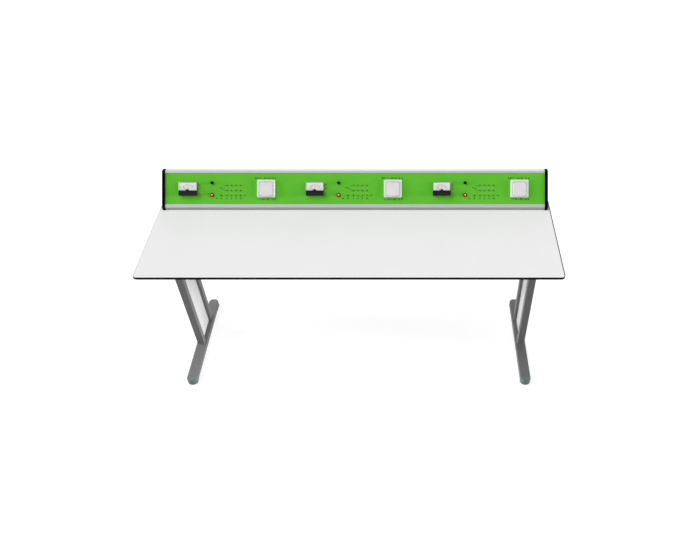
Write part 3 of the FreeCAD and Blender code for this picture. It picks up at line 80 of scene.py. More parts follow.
class SocketColour(Enum):
    """Colours of the low voltage sockets, by the CAD node that they stand for."""

    RED = "red_outlets"
    BLUE = "blue_outlets"
    BLACK = "black_outlets"


# Colour and node helpers


def linear(code: str, alpha: float = 1.0) -> tuple[float, float, float, float]:
    """Turn an sRGB hex colour to the linear values that the shaders take.

    Args:
        code: Six hex digits after a hash sign.
        alpha: Alpha value of the result.

    Returns:
        Red, green, blue and alpha.
    """
    channels = [int(code[start:start + 2], 16) / 255.0 for start in (1, 3, 5)]
    values = [c / 12.92 if c <= 0.04045 else ((c + 0.055) / 1.055) ** 2.4 for c in channels]
    return values[0], values[1], values[2], alpha


def per_metre(spacing: float) -> float:
    """Texture scale, on coordinates in metres, of a pattern that repeats every spacing millimetres."""
    return 1000.0 / spacing


def add_node(
    tree: bpy.types.NodeTree, kind: str, inputs: dict[str | int, Any] | None = None, **settings: Any
) -> bpy.types.Node:
    """Add a node, with its settings and its links.

    Args:
        tree: Node tree that gets the node.
        kind: Type name of the node.
        inputs: A value or an output socket for each input, by name or number.
        settings: Properties of the node itself.

    Returns:
        The new node.
    """
    node = tree.nodes.new(kind)
    for name, value in settings.items():
        setattr(node, name, value)
    for key, value in (inputs or {}).items():
        if isinstance(value, bpy.types.NodeSocket):
            tree.links.new(value, node.inputs[key])
        else:
            node.inputs[key].default_value = value
    return node


def seen_rays(tree: bpy.types.NodeTree) -> Any:
    """Find the rays that show a background as it is: to the camera, in gloss and through glass.

    Args:
        tree: Node tree of the background.

    Returns:
        Output socket that is 1 on such rays.
    """
    ray = add_node(tree, "ShaderNodeLightPath")
    seen = ray.outputs["Is Camera Ray"]
    for kind in ("Is Glossy Ray", "Is Transmission Ray"):
        either = add_node(tree, "ShaderNodeMath", {0: seen, 1: ray.outputs[kind]}, operation="MAXIMUM")
        seen = either.outputs[0]
    return seen


class Surface:
    """A material being built: its shader and the piece's own coordinates in metres."""

    def __init__(self, name: str) -> None:
        """Start a material with a Principled shader joined to its output.

        Args:
            name: Name of the material.
        """
        self.material = bpy.data.materials.new(name)
        self.material.use_nodes = True
        self.tree = self.material.node_tree
        self.tree.nodes.clear()
        self.shader = self.add("ShaderNodeBsdfPrincipled")
        self.output = self.add("ShaderNodeOutputMaterial", {"Surface": self.shader.outputs["BSDF"]})
        self.place = self.add("ShaderNodeTexCoord").outputs["Object"]

    def add(self, kind: str, inputs: dict[str | int, Any] | None = None, **settings: Any) -> bpy.types.Node:
        """Add a node to this material's tree."""
        return add_node(self.tree, kind, inputs, **settings)

    def feed(self, **values: Any) -> None:
        """Set or link inputs of the shader.

        Args:
            values: A value or an output socket for each input, named with underscores for spaces.
        """
        for name, value in values.items():
            socket = self.shader.inputs[name.replace("_", " ")]
            if isinstance(value, bpy.types.NodeSocket):
                self.tree.links.new(value, socket)
            else:
                socket.default_value = value

    def cloud(self, spacing: float, detail: float = 3.0, stretch: Sequence[float] = (1.0, 1.0, 1.0)) -> Any:
        """Soft irregular pattern.

        Args:
            spacing: Size of its patches in millimetres.
            detail: Octaves of finer pattern in it.
            stretch: Share of the coordinates along X, Y and Z, where a low one draws it out.

        Returns:
            Output socket with values from 0 to 1.
        """
        moved = self.add("ShaderNodeMapping", {"Vector": self.place, "Scale": stretch})
        noise = self.add(
            "ShaderNodeTexNoise",
            {"Vector": moved.outputs["Vector"], "Scale": per_metre(spacing), "Detail": detail},
        )
        return noise.outputs["Fac"]

    def between(self, share: Any, first: str, second: str) -> Any:
        """Colour that runs from the first to the second with a share.

        Args:
            share: Output socket from 0 to 1.
            first: Hex colour where the share is low.
            second: Hex colour where the share is high.

        Returns:
            Output socket with the colour.
        """
        mix = self.add("ShaderNodeMix", {0: share, 6: linear(first), 7: linear(second)}, data_type="RGBA")
        return mix.outputs[2]

    def span(self, share: Any, low: float, high: float) -> Any:
        """Spread a pattern's middle range over two values.

        Args:
            share: Output socket from 0 to 1, mostly between 0.3 and 0.7.
            low: Value where the pattern is low.
            high: Value where the pattern is high.

        Returns:
            Output socket with the value.
        """
        limits = {"Value": share, "From Min": 0.3, "From Max": 0.7, "To Min": low, "To Max": high}
        return self.add("ShaderNodeMapRange", limits).outputs["Result"]

    def press(self, height: Any, depth: float) -> None:
        """Use a pattern as relief on the surface.

        Args:
            height: Output socket from 0 to 1.
            depth: Height of its relief in millimetres.
        """
        bump = self.add("ShaderNodeBump", {"Height": height, "Distance": depth * MILLIMETRE, "Strength": 1.0})
        self.feed(Normal=bump.outputs["Normal"])


# Finishes


@dataclass(frozen=True)
class Finish:
    """What a surface is made of and how it was made."""

    name: str

    def build(self) -> bpy.types.Material:
        """Make the material.

        Returns:
            The material.
        """
        surface = Surface(self.name)
        self.lay(surface)
        return surface.material

    def lay(self, surface: Surface) -> None:
        """Lay its nodes.

        Args:
            surface: Material being built.
        """
        raise NotImplementedError


@dataclass(frozen=True)
class CompactLaminate(Finish):
    """Pressed phenolic board: pale melamine faces with a fine crystal grain, and black core at its edges."""

    face: str = "#F0F0F0"
    face_drift: str = "#ECECEC"
    core: str = "#040404"
    core_dust: str = "#0E0E0F"
    face_axis: int = 2
    # Where set, X in millimetres past which the top face gets a painted shade line in the core colour.
    painted_shade_from: float = 0.0
    face_limit: float = 0.992

    def lay(self, surface: Surface) -> None:
        """Lay its nodes.

        Args:
            surface: Material being built.
        """
        # Faces and machined edges are told apart by where they look, so the core shows on all of an edge.
        normal = surface.add("ShaderNodeNewGeometry").outputs["True Normal"]
        parts = surface.add("ShaderNodeSeparateXYZ", {"Vector": normal})
        level = surface.add("ShaderNodeMath", {0: parts.outputs[self.face_axis]}, operation="ABSOLUTE")
        square = {0: level.outputs[0], 1: self.face_limit}
        mask = surface.add("ShaderNodeMath", square, operation="GREATER_THAN").outputs[0]
        if self.painted_shade_from:
            # Past this many millimetres along X the top face is painted with the dark core colour: a painted
            # shade line along the right edge, where the black rim falls dark.
            along = surface.add("ShaderNodeSeparateXYZ", {"Vector": surface.place}).outputs[0]
            limit = self.painted_shade_from * MILLIMETRE
            clear_of_painted_shade = surface.add("ShaderNodeMath", {0: along, 1: limit}, operation="LESS_THAN").outputs[0]
            mask = surface.add("ShaderNodeMath", {0: mask, 1: clear_of_painted_shade}, operation="MULTIPLY").outputs[0]
        # A very faint drift over 180 mm keeps a wide pale board from looking like paper.
        pale = surface.between(surface.cloud(180.0, 2.0), self.face, self.face_drift)
        # Milling leaves streaks of about 4 mm along the black edge.
        dark = surface.between(surface.cloud(4.0, 4.0, (0.3, 0.3, 1.0)), self.core, self.core_dust)
        mixed = surface.add("ShaderNodeMix", {0: mask, 6: dark, 7: pale}, data_type="RGBA")
        # The pressed crystal grain is 0.4 mm, drawn at 1.6 mm so that a close view still shows it.
        grain = surface.cloud(1.6, 2.0)
        rough = surface.span(grain, 0.42, 0.56)
        surface.feed(Base_Color=mixed.outputs[2], Roughness=rough, Specular_IOR_Level=0.04)
        surface.press(grain, 0.02)


@dataclass(frozen=True)
class PowderCoat(Finish):
    """Baked epoxy powder on steel tube: satin, with an orange-peel skin and rubbed spots."""

    colour: str
    drift: str
    roughness: float = 0.44

    def lay(self, surface: Surface) -> None:
        """Lay its nodes.

        Args:
            surface: Material being built.
        """
        # Powder flows out to waves of about 1.5 mm, which break up the highlights along a tube.
        peel = surface.cloud(1.5, 1.0)
        # Fine metallic-grey speckle of 0.3 mm, drawn at 0.8 mm.
        speckle = surface.cloud(0.8, 1.0)
        wide = surface.add("ShaderNodeMath", {0: surface.cloud(90.0), 1: speckle}, operation="ADD")
        half = surface.add("ShaderNodeMath", {0: wide.outputs[0], 1: 0.5}, operation="MULTIPLY")
        surface.feed(
            Base_Color=surface.between(surface.span(half.outputs[0], 0.0, 1.0), self.colour, self.drift),
            Roughness=surface.span(surface.cloud(35.0), self.roughness - 0.05, self.roughness + 0.07),
            Specular_IOR_Level=0.12,
        )
        surface.press(peel, 0.05)


@dataclass(frozen=True)
class AnodisedAluminium(Finish):
    """Extruded aluminium with a natural satin anodise: faint die lines run along the profile."""

    # The upright colour is a painted shade and the level colour a painted light, mixed by the face's
    # direction.
    upright: str = "#9DA19E"
    level: str = "#C9CDCA"
    roughness: float = 0.42

    def lay(self, surface: Surface) -> None:
        """Lay its nodes.

        Args:
            surface: Material being built.
        """
        # Die lines are 0.2 mm apart, drawn at 1 mm, and hundreds of millimetres long.
        lines = surface.cloud(1.0, 3.0, (0.004, 1.0, 1.0))
        # Painted light and shade by face direction: the level crest is painted brightest and the upright toe
        # darkest, as the light falls on them.
        normal = surface.add("ShaderNodeNewGeometry").outputs["True Normal"]
        level = surface.add("ShaderNodeSeparateXYZ", {"Vector": normal}).outputs["Z"]
        drift = surface.add("ShaderNodeMath", {0: lines, 1: -0.25}, operation="MULTIPLY").outputs[0]
        share = surface.add("ShaderNodeMath", {0: level, 1: drift}, operation="ADD", use_clamp=True)
        surface.feed(
            Base_Color=surface.between(share.outputs[0], self.upright, self.level),
            Roughness=surface.span(lines, self.roughness - 0.06, self.roughness + 0.08),
            Metallic=0.3,
        )
        surface.press(lines, 0.012)


@dataclass(frozen=True)
class PrintedSheet(Finish):
    """Aluminium front sheet with a screen-printed green lacquer: even, matt, with a fine sand texture."""

    colour: str = "#64C536"
    drift: str = "#60BF33"

    def lay(self, surface: Surface) -> None:
        """Lay its nodes.

        Args:
            surface: Material being built.
        """
        # The squeegee leaves the ink a little thicker in patches of about 120 mm.
        ink = surface.between(surface.span(surface.cloud(120.0, 2.0), 0.0, 1.0), self.colour, self.drift)
        # Sand texture of 0.2 mm, drawn at 0.9 mm.
        sand = surface.cloud(0.9, 2.0)
        surface.feed(Base_Color=ink, Roughness=surface.span(sand, 0.5, 0.62), Specular_IOR_Level=0.05)
        surface.press(sand, 0.012)


@dataclass(frozen=True)
class MouldedPlastic(Finish):
    """Injection-moulded ABS, nylon, urea or phenolic, by its gloss and the grain of its mould."""

    colour: str
    drift: str
    roughness: float = 0.4
    grain: float = 1.0
    depth: float = 0.02
    gloss_coat: float = 0.0
    shine: float = 0.15

    def lay(self, surface: Surface) -> None:
        """Lay its nodes.

        Args:
            surface: Material being built.
        """
        # The melt's flow shows as a slow drift, and the etched mould as grain in the highlights.
        flow = surface.span(surface.cloud(25.0, 2.0), 0.0, 1.0)
        grain = surface.cloud(self.grain, 2.0)
        surface.feed(
            Base_Color=surface.between(flow, self.colour, self.drift),
            Roughness=surface.span(grain, self.roughness - 0.05, self.roughness + 0.08),
            Coat_Weight=self.gloss_coat,
            Specular_IOR_Level=self.shine,
        )
        surface.press(grain, self.depth)


@dataclass(frozen=True)
class ClearAcrylic(Finish):
    """Clear moulded acrylic window: sharp, with faint wiping marks that only the highlights show."""

    tint: str = "#F7FAFA"
    bending: float = 1.49

    def lay(self, surface: Surface) -> None:
        """Lay its nodes.

        Args:
            surface: Material being built.
        """
        # Wiping marks about 3 mm apart, drawn out along the window.
        marks = surface.cloud(3.0, 4.0, (0.2, 1.0, 1.0))
        tone = surface.between(surface.cloud(30.0), self.tint, "#F1F6F6")
        surface.feed(Base_Color=tone, Roughness=surface.span(marks, 0.05, 0.12), IOR=self.bending)
        # A thin window shifts no image, so light goes straight through it and only the gloss is its own.
        clear = surface.add("ShaderNodeBsdfTransparent", {"Color": linear("#FDFEFE")})
        mirror = surface.add("ShaderNodeFresnel", {"IOR": self.bending}).outputs["Fac"]
        direct = surface.add("ShaderNodeLightPath").outputs["Is Camera Ray"]
        gloss = surface.add("ShaderNodeMath", {0: mirror, 1: direct}, operation="MULTIPLY").outputs[0]
        mixed = surface.add(
            "ShaderNodeMixShader",
            {0: gloss, 1: clear.outputs["BSDF"], 2: surface.shader.outputs["BSDF"]},
        )
        surface.tree.links.new(mixed.outputs["Shader"], surface.output.inputs["Surface"])


@dataclass(frozen=True)
class PlatedMetal(Finish):
    """Zinc, nickel or bare drawn metal, by its tint and how coarse its crystals are."""

    colour: str
    drift: str
    roughness: float = 0.34
    crystal: float = 2.0
    metallic: float = 1.0

    def lay(self, surface: Surface) -> None:
        """Lay its nodes.

        Args:
            surface: Material being built.
        """
        # Plating grows in cells, whose edges scatter the light a little differently.
        cells = surface.add(
            "ShaderNodeTexVoronoi", {"Vector": surface.place, "Scale": per_metre(self.crystal)}
        ).outputs["Distance"]
        tone = surface.add("ShaderNodeMath", {0: cells, 1: surface.cloud(12.0)}, operation="MULTIPLY")
        surface.feed(
            Base_Color=surface.between(tone.outputs[0], self.colour, self.drift),
            Roughness=surface.span(surface.cloud(6.0), self.roughness - 0.06, self.roughness + 0.1),
            Metallic=self.metallic,
        )
        surface.press(cells, 0.006)


@dataclass(frozen=True)
class VarnishedStack(Finish):
    """Transformer core of stamped iron sheets under brown varnish: fine lines across the stack."""

    iron: str = "#4A4744"
    varnish: str = "#33251A"

    def lay(self, surface: Surface) -> None:
        """Lay its nodes.

        Args:
            surface: Material being built.
        """
        # Sheets of 0.5 mm, drawn at 2 mm.
        sheets = surface.add(
            "ShaderNodeTexWave",
            {"Vector": surface.place, "Scale": per_metre(2.0) / FULL_TURN, "Distortion": 0.3},
            bands_direction="Y",
        ).outputs["Fac"]
        surface.feed(
            Base_Color=surface.between(sheets, self.iron, self.varnish),
            Roughness=surface.span(surface.cloud(8.0), 0.35, 0.6),
            Metallic=0.2,
        )
        surface.press(sheets, 0.1)


@dataclass(frozen=True)
class LampLens(Finish):
    """Translucent red polycarbonate button over a small lamp: pale and warm in the middle, red at the rim."""

    middle: str = "#F6BE96"
    rim: str = "#8E2410"
    radius: float = 5.5
    spread: tuple[float, float] = (0.15, 0.9)

    def lay(self, surface: Surface) -> None:
        """Lay its nodes.

        Args:
            surface: Material being built.
        """
        # The piece's own origin is on its axis, so the distance from it gives the lamp's spread.
        level = {0: surface.place, 1: (1.0, 1.0, 0.0)}
        flat = surface.add("ShaderNodeVectorMath", level, operation="MULTIPLY")
        away = surface.add("ShaderNodeVectorMath", {0: flat.outputs["Vector"]}, operation="LENGTH")
        near, far = (share * self.radius * MILLIMETRE for share in self.spread)
        limits = {"Value": away.outputs["Value"], "From Min": near, "From Max": far}
        share = surface.add("ShaderNodeMapRange", limits).outputs["Result"]
        colour = surface.between(share, self.middle, self.rim)
        # Prisms moulded inside the lens, 0.8 mm apart, sparkle in it.
        prisms = surface.cloud(0.8, 1.0)
        surface.feed(Base_Color=colour, Emission_Color=colour, Emission_Strength=0.35, Coat_Weight=0.2)
        surface.feed(Roughness=surface.span(prisms, 0.2, 0.34))
        surface.press(prisms, 0.02)


@dataclass(frozen=True)
class ThinCoat(Finish):
    """Screen-printed ink or card lacquer: dense, flat and matt, with the fine tooth of its mesh or paper."""

    colour: str
    drift: str
    tooth: float = 0.5
    detail: float = 1.0
    roughness: float = 0.55
    depth: float = 0.004

    def lay(self, surface: Surface) -> None:
        """Lay its nodes.

        Args:
            surface: Material being built.
        """
        # The mesh of a screen is 0.1 mm and the tooth of a card 0.3 mm, drawn at 0.5 and 0.7 mm.
        tooth = surface.cloud(self.tooth, self.detail)
        surface.feed(Base_Color=surface.between(tooth, self.colour, self.drift), Roughness=self.roughness)
        surface.press(tooth, self.depth)


@dataclass(frozen=True)
class StudioFloor(Finish):
    """Pale matt studio floor that the camera sees as white, apart from the bench's own soft shadow."""

    paint: str = "#ACACAC"
    drift: str = "#A8A8A8"
    shown: float = 0.8

    def lay(self, surface: Surface) -> None:
        """Lay its nodes.

        Args:
            surface: Material being built.
        """
        # The paint drifts over 400 mm, as a rolled floor does.
        tone = surface.between(surface.cloud(400.0), self.paint, self.drift)
        surface.feed(Base_Color=tone, Roughness=0.9, Specular_IOR_Level=0.0)
        dim = surface.add("ShaderNodeBsdfDiffuse", {"Color": linear(self.drift)})
        glow = surface.add("ShaderNodeEmission", {"Color": (1.0, 1.0, 1.0, 1.0), "Strength": self.shown})
        shown = surface.add("ShaderNodeAddShader", {0: dim.outputs["BSDF"], 1: glow.outputs["Emission"]})
        mixed = surface.add(
            "ShaderNodeMixShader",
            {0: seen_rays(surface.tree), 1: surface.shader.outputs["BSDF"], 2: shown.outputs["Shader"]},
        )
        surface.tree.links.new(mixed.outputs["Shader"], surface.output.inputs["Surface"])


@cache
def paint(finish: Finish) -> bpy.types.Material:
    """Give the material of a finish, made on its first use."""
    return finish.build()


# Past X 895.2 mm the worktop's top face is painted with its dark core colour, as a painted shade line along
# the right edge.
WORKTOP_BOARD = CompactLaminate("worktop_compact_laminate", painted_shade_from=895.2)
INFILL_BOARD = CompactLaminate("infill_compact_laminate", "#F6F6F6", "#F2F2F2", face_axis=0)
FRAME_PAINT = PowderCoat("frame_grey_powder_coat", "#808080", "#787878")
CAP_NYLON = MouldedPlastic("foot_cap_moulded_nylon", "#7B8787", "#717E7E", 0.42, 1.2, 0.03)
PLUG_NYLON = MouldedPlastic("rail_plug_moulded_nylon", "#5F6363", "#585C5C", 0.45, 1.2, 0.03)
CONSOLE_METAL = AnodisedAluminium("console_anodised_aluminium")
END_CAP_ABS = MouldedPlastic("console_end_cap_grained_abs", "#020202", "#060607", 0.55, 1.3, 0.05, shine=0.02)
GREEN_SHEET = PrintedSheet("fascia_printed_aluminium_sheet")
LEGEND_INK = ThinCoat("legend_screen_ink", "#081A05", "#0C2208")
DIAL_INK = ThinCoat("dial_black_ink", "#3A3A3C", "#464648")
DIAL_RED_INK = ThinCoat("dial_red_ink", "#B3261E", "#A8332B")
METER_PHENOLIC = MouldedPlastic("meter_case_phenolic", "#1C1A1C", "#232123", 0.4, 0.9, 0.015, 0.0, 0.09)
METER_WINDOW = ClearAcrylic("meter_window_clear_acrylic")
METER_CARD = ThinCoat("meter_dial_lacquered_card", "#F2F0EA", "#ECE9E2", 0.7, 2.0, 0.6, 0.005)
NEEDLE_LACQUER = MouldedPlastic("needle_black_lacquer", "#151516", "#1D1D1E", 0.4, 0.6, 0.005)
CAN_STEEL = PlatedMetal("movement_can_nickelled_steel", "#B9BABA", "#A5A6A6", 0.3, 3.0)
RED_NYLON = MouldedPlastic("socket_red_polyamide", "#92503F", "#864838", 0.35, 0.6, 0.01)
BLUE_NYLON = MouldedPlastic("socket_blue_polyamide", "#446478", "#3E5C6E", 0.35, 0.6, 0.01)
BLACK_NYLON = MouldedPlastic("socket_black_polyamide", "#2E3C32", "#36443A", 0.35, 0.6, 0.01)
SLEEVE_BRASS = PlatedMetal("socket_sleeve_nickelled_brass", "#C9B98A", "#B39F6A", 0.25, 1.0)
FUSE_PHENOLIC = MouldedPlastic("fuse_holder_phenolic", "#0C0F0C", "#131613", 0.4, 0.7, 0.012, 0.0, 0.06)
BEZEL_ABS = MouldedPlastic("switch_bezel_red_abs", "#7C1A08", "#6E1606", 0.4, 0.7, 0.012, 0.0, 0.09)
BUTTON_LENS = LampLens("switch_button_red_polycarbonate")
PLATE_UREA = MouldedPlastic("mains_plate_white_urea", "#E6EAE4", "#E0E5DE", 0.28, 1.0, 0.006, 0.08)
LID_UREA = MouldedPlastic("mains_lid_white_urea", "#E9E6E8", "#E3E0E2", 0.26, 1.0, 0.006, 0.08)
INSERT_UREA = MouldedPlastic("mains_insert_white_urea", "#DDDFDB", "#D5D8D3", 0.32, 1.0, 0.01)
EARTH_BRASS = PlatedMetal("earth_clip_sprung_brass", "#CBA75A", "#B08E45", 0.28, 1.5)
PIN_STEEL = PlatedMetal("hinge_pin_drawn_steel", "#B4B5B6", "#9FA0A1", 0.25, 1.0)
# The springs are painted near white, which lightens the shaded notch over them: painted light.
SPRING_PAINTED_PALE = PlatedMetal("lid_spring_wire_painted_pale", "#F0F1F3", "#E2E3E6", 0.5, 0.8, 0.3)
PLUG_POLYAMIDE = MouldedPlastic("hinge_plug_dark_polyamide", "#2C2E2C", "#343634", 0.45, 0.6, 0.01)
ZINC_PLATE = PlatedMetal("fixing_bright_zinc_plate", "#B9BDC2", "#A2A6AA", 0.34, 2.0)
BLACK_OXIDE = PlatedMetal("screw_black_oxide", "#232426", "#18191A", 0.4, 1.0)
GLAND_NYLON = MouldedPlastic("supply_gland_black_nylon", "#141516", "#1B1C1D", 0.42, 1.0, 0.03)
CORE_STACK = VarnishedStack("transformer_varnished_stack")


# Mesh building, in millimetres


Ring = tuple[float | Callable[[float], float], float]
# Height of a digit as a share of the font's size.
DIGIT_SHARE = 0.7


def polar(radius: float, angle: float) -> tuple[float, float]:
    """X and Y at a distance from the origin and an angle in radians from X."""
    return radius * math.cos(angle), radius * math.sin(angle)


def polygon_radius(flats: float, sides: int, turn: float = 0.0) -> Callable[[float], float]:
    """Radius of a regular polygon as a function of the angle.

    Args:
        flats: Distance from the middle to a flat, in millimetres.
        sides: Number of flats.
        turn: Angle of the first flat's middle, in radians.

    Returns:
        The function.
    """
    step = FULL_TURN / sides

    def radius(angle: float) -> float:
        """Radius at an angle."""
        off = (angle - turn + step / 2.0) % step - step / 2.0
        return flats / math.cos(off)

    return radius


def wavy_radius(radius: float, depth: float, ridges: int) -> Callable[[float], float]:
    """Radius of a knurled round as a function of the angle.

    Args:
        radius: Outer radius in millimetres.
        depth: Depth of its grooves in millimetres.
        ridges: Number of ridges around it.

    Returns:
        The function.
    """

    def shape(angle: float) -> float:
        """Radius at an angle."""
        return radius - depth * (0.5 - 0.5 * math.cos(ridges * angle)) ** 2

    return shape


def show(item: bpy.types.Object) -> None:
    """Put an object in the scene."""
    bpy.context.scene.collection.objects.link(item)


@dataclass
class Shape:
    """Points and faces of a mesh being built, in millimetres."""

    points: list[Vector] = field(default_factory=list)
    faces: list[tuple[int, ...]] = field(default_factory=list)

    def add(self, points: Iterable[Sequence[float]], faces: Iterable[Sequence[int]], place: Matrix) -> None:
        """Add points and the faces between them.

        Args:
            points: Points in the local frame.
            faces: Corner numbers of each face, from 0 for the first of these points.
            place: Where the local frame is.
        """
        start = len(self.points)
        self.points += [place @ Vector(point) for point in points]
        self.faces += [tuple(start + corner for corner in face) for face in faces]

    def turned(self, rings: Sequence[Ring], place: Matrix, steps: int = 32) -> None:
        """Add a turned piece about local Z, closed at both ends.

        Args:
            rings: Radius and height of each ring from the first end to the last.
            place: Where the local frame is.
            steps: Points around it.
        """
        loops = []
        for radius, height in rings:
            loop = []
            for step in range(steps):
                angle = FULL_TURN * step / steps
                reach = radius(angle) if callable(radius) else radius
                loop.append((*polar(reach, angle), height))
            loops.append(loop)
        self.stacked(loops, place)

    def stacked(self, loops: Sequence[Sequence[Sequence[float]]], place: Matrix) -> None:
        """Add a closed piece through outlines of equal point counts, capped at both ends.

        Args:
            loops: Outlines from the first end to the last, each counter-clockwise seen from the last end.
            place: Where the local frame is.
        """
        count = len(loops[0])
        points = [point for loop in loops for point in loop]
        faces: list[tuple[int, ...]] = [tuple(reversed(range(count)))]
        for level in range(len(loops) - 1):
            for step in range(count):
                after = (step + 1) % count
                low, high = level * count, (level + 1) * count
                faces.append((low + step, low + after, high + after, high + step))
        last = (len(loops) - 1) * count
        faces.append(tuple(range(last, last + count)))
        self.add(points, faces, place)

    def ribbon(
        self, line: Sequence[Sequence[float]], width: float, place: Matrix, lift: float = PRINT
    ) -> None:
        """Add a thin printed line with square ends, which lies on local Z 0.

        Args:
            line: Points of the line's middle in the local XY plane.
            width: Width of the line in millimetres.
            place: Where the local frame is.
            lift: Thickness of the print in millimetres.
        """
        spots = [Vector((x, y)) for x, y in line]
        loops = []
        for number, spot in enumerate(spots):
            ahead = spots[min(number + 1, len(spots) - 1)] - spots[max(number - 1, 0)]
            across = Vector((-ahead.y, ahead.x)).normalized() * (width / 2.0)
            left, right = spot + across, spot - across
            loops.append([(*left, 0.0), (*left, lift), (*right, lift), (*right, 0.0)])
        self.stacked(loops, place)

    def lettered(
        self, text: str, height: float, place: Matrix, weight: float = 0.0, spread: float = 1.0
    ) -> None:
        """Add printed characters centred on the local origin.

        Args:
            text: Characters to print.
            height: Height of a digit in millimetres.
            place: Where the local frame is.
            weight: How far the strokes are fattened on each side, in millimetres.
            spread: Spacing of the characters, where 1 is the font's own.
        """
        curve = bpy.data.curves.new("lettering", "FONT")
        curve.body = text
        curve.align_x = "CENTER"
        curve.align_y = "CENTER"
        curve.size = height / DIGIT_SHARE
        curve.offset = weight
        curve.space_character = spread
        curve.extrude = PRINT / 2.0
        curve.resolution_u = 3
        holder = bpy.data.objects.new("lettering", curve)
        mesh = bpy.data.meshes.new_from_object(holder)
        raised = place @ Matrix.Translation((0.0, 0.0, PRINT / 2.0))
        self.add([v.co[:] for v in mesh.vertices], [tuple(p.vertices) for p in mesh.polygons], raised)
        bpy.data.objects.remove(holder)
        bpy.data.curves.remove(curve)
        bpy.data.meshes.remove(mesh)

    def build(
        self, name: str, finish: Finish, body: str = BENCH, angle: float = 35.0, origin: Matrix | None = None
    ) -> bpy.types.Object:
        """Make the object, give it its finish and let it ride on a body.

        Args:
            name: Name of the piece.
            finish: Its finish.
            body: CAD body that it moves with.
            angle: Edges sharper than this many degrees stay sharp.
            origin: Place of the object's own origin in millimetres, where the finish needs one.

        Returns:
            The object.
        """
        base = origin or Matrix.Identity(4)
        back = base.inverted()
        mesh = bpy.data.meshes.new(name)
        mesh.from_pydata([(back @ point) * MILLIMETRE for point in self.points], [], self.faces)
        mesh.validate()
        mesh.polygons.foreach_set("use_smooth", [True] * len(mesh.polygons))
        mesh.set_sharp_from_angle(angle=math.radians(angle))
        mesh.materials.append(paint(finish))
        piece = bpy.data.objects.new(name, mesh)
        show(piece)
        world = base.copy()
        world.translation = base.translation * MILLIMETRE
        piece.matrix_world = world
        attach(piece, body)
        log.info("piece %s: %d faces, %s", name, len(mesh.polygons), finish.name)
        return piece


def rounded_outline(
    low_x: float, high_x: float, low_y: float, high_y: float,
    radii: Sequence[float], level: float, steps: int,
) -> list[tuple[float, float, float]]:
    """Outline of a rectangle with rounded corners, counter-clockwise from the high X, high Y corner.

    Args:
        low_x: Least X in millimetres.
        high_x: Greatest X.
        low_y: Least Y.
        high_y: Greatest Y.
        radii: Corner radii: high X high Y, low X high Y, low X low Y, high X low Y.
        level: Z of the outline.
        steps: Steps in each corner.

    Returns:
        Its points.
    """
    corners = (
        (high_x - radii[0], high_y - radii[0], radii[0], 0.0),
        (low_x + radii[1], high_y - radii[1], radii[1], 90.0),
        (low_x + radii[2], low_y + radii[2], radii[2], 180.0),
        (high_x - radii[3], low_y + radii[3], radii[3], 270.0),
    )
    points = []
    for x, y, radius, start in corners:
        for step in range(steps + 1):
            across, along = polar(radius, math.radians(start + 90.0 * step / steps))
            points.append((x + across, y + along, level))
    return points


# Corners closer than this, in metres, are joined before edges sharper than the angle are softened.
JOIN_REACH = 0.00001
SOFT_ANGLE = math.radians(28.0)
SHADING_WEIGHT = 70


def dress(node: str, finish: Finish, edge: float = 0.0, segments: int = 2) -> None:
    """Give a CAD node its finish, and soften its edges where they are seen.

    Args:
        node: Name of the CAD node.
        finish: Its finish.
        edge: Width of the softened edges in millimetres, or 0 for none.
        segments: Steps across a softened edge.
    """
    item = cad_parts[node]
    for slot in item.material_slots:
        slot.material = paint(finish)
    if not item.material_slots:
        item.data.materials.append(paint(finish))
    if edge:
        item.modifiers.new("joined_corners", "WELD").merge_threshold = JOIN_REACH
        soft = item.modifiers.new("soft_edges", "BEVEL")
        soft.width = edge * MILLIMETRE
        soft.segments = segments
        soft.limit_method = "ANGLE"
        soft.angle_limit = SOFT_ANGLE
        soft.use_clamp_overlap = True
        item.modifiers.new("even_shading", "WEIGHTED_NORMAL").weight = SHADING_WEIGHT
    log.info("node %s: %s", node, finish.name)


def node_box(node: str) -> tuple[Vector, Vector]:
    """Lowest and highest corner of a CAD node at rest, in millimetres."""
    low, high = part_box(node)
    return Vector(low) / MILLIMETRE, Vector(high) / MILLIMETRE


def node_middle(node: str) -> Vector:
    """Middle of a CAD node's box at rest, in millimetres."""
    low, high = node_box(node)
    return (low + high) / 2.0


@dataclass(frozen=True)
class SlopedFace:
    """The fascia's printed face: local X along the bench, Y up the slope, Z out of the face.

    Its columns are measured from the middle line of a station, and its rises from the console's toe.
    """

    start: float = 11.8
    thickness: float = 3.0
    zero_column: float = 42.6
    first_column: float = 68.0
    column_pitch: float = 20.8
    mains_column: float = 249.3
    fuse_rise: float = 113.5

    def frame_at(self, x: float, rise: float, out: float = 0.0, turn: float = 0.0) -> Matrix:
        """Frame of a fitting on the face.

        Args:
            x: Place along the bench in millimetres.
            rise: Distance up the slope from the console's toe line.
            out: Distance out of the face.
            turn: Turn about the face's normal in degrees.

        Returns:
            The local frame.
        """
        low, _ = node_box("fascia")
        run = math.cos(SLOPE)
        foot = Vector((0.0, low.y - self.start * run, low.z + (self.thickness - self.start) * run))
        up = Vector((0.0, run, run))
        normal = Vector((0.0, -run, run))
        spot = foot + up * rise + normal * out + Vector((x, 0.0, 0.0))
        turned = Matrix.Rotation(SLOPE, 4, "X") @ Matrix.Rotation(math.radians(turn), 4, "Z")
        return Matrix.Translation(spot) @ turned

    def station(self, number: int) -> float:
        """X of a station's middle line, which its fuse holder stands on."""
        return node_middle(f"fuse_cap_{number}").x

    def columns(self) -> list[float]:
        """Columns of the red and blue sockets."""
        return [self.first_column + self.column_pitch * step for step in range(4)]


FACE = SlopedFace()


# Sub-assemblies


@dataclass
class Worktop:
    """Compact laminate top with the fixings under it."""

    edge: float = 1.2

    def build(self) -> None:
        """Dress the board, whose eased edges bare the black core, and its screws."""
        dress("worktop", WORKTOP_BOARD, self.edge, 3)
        dress("worktop_screws", ZINC_PLATE)
        dress("console_screws", ZINC_PLATE)


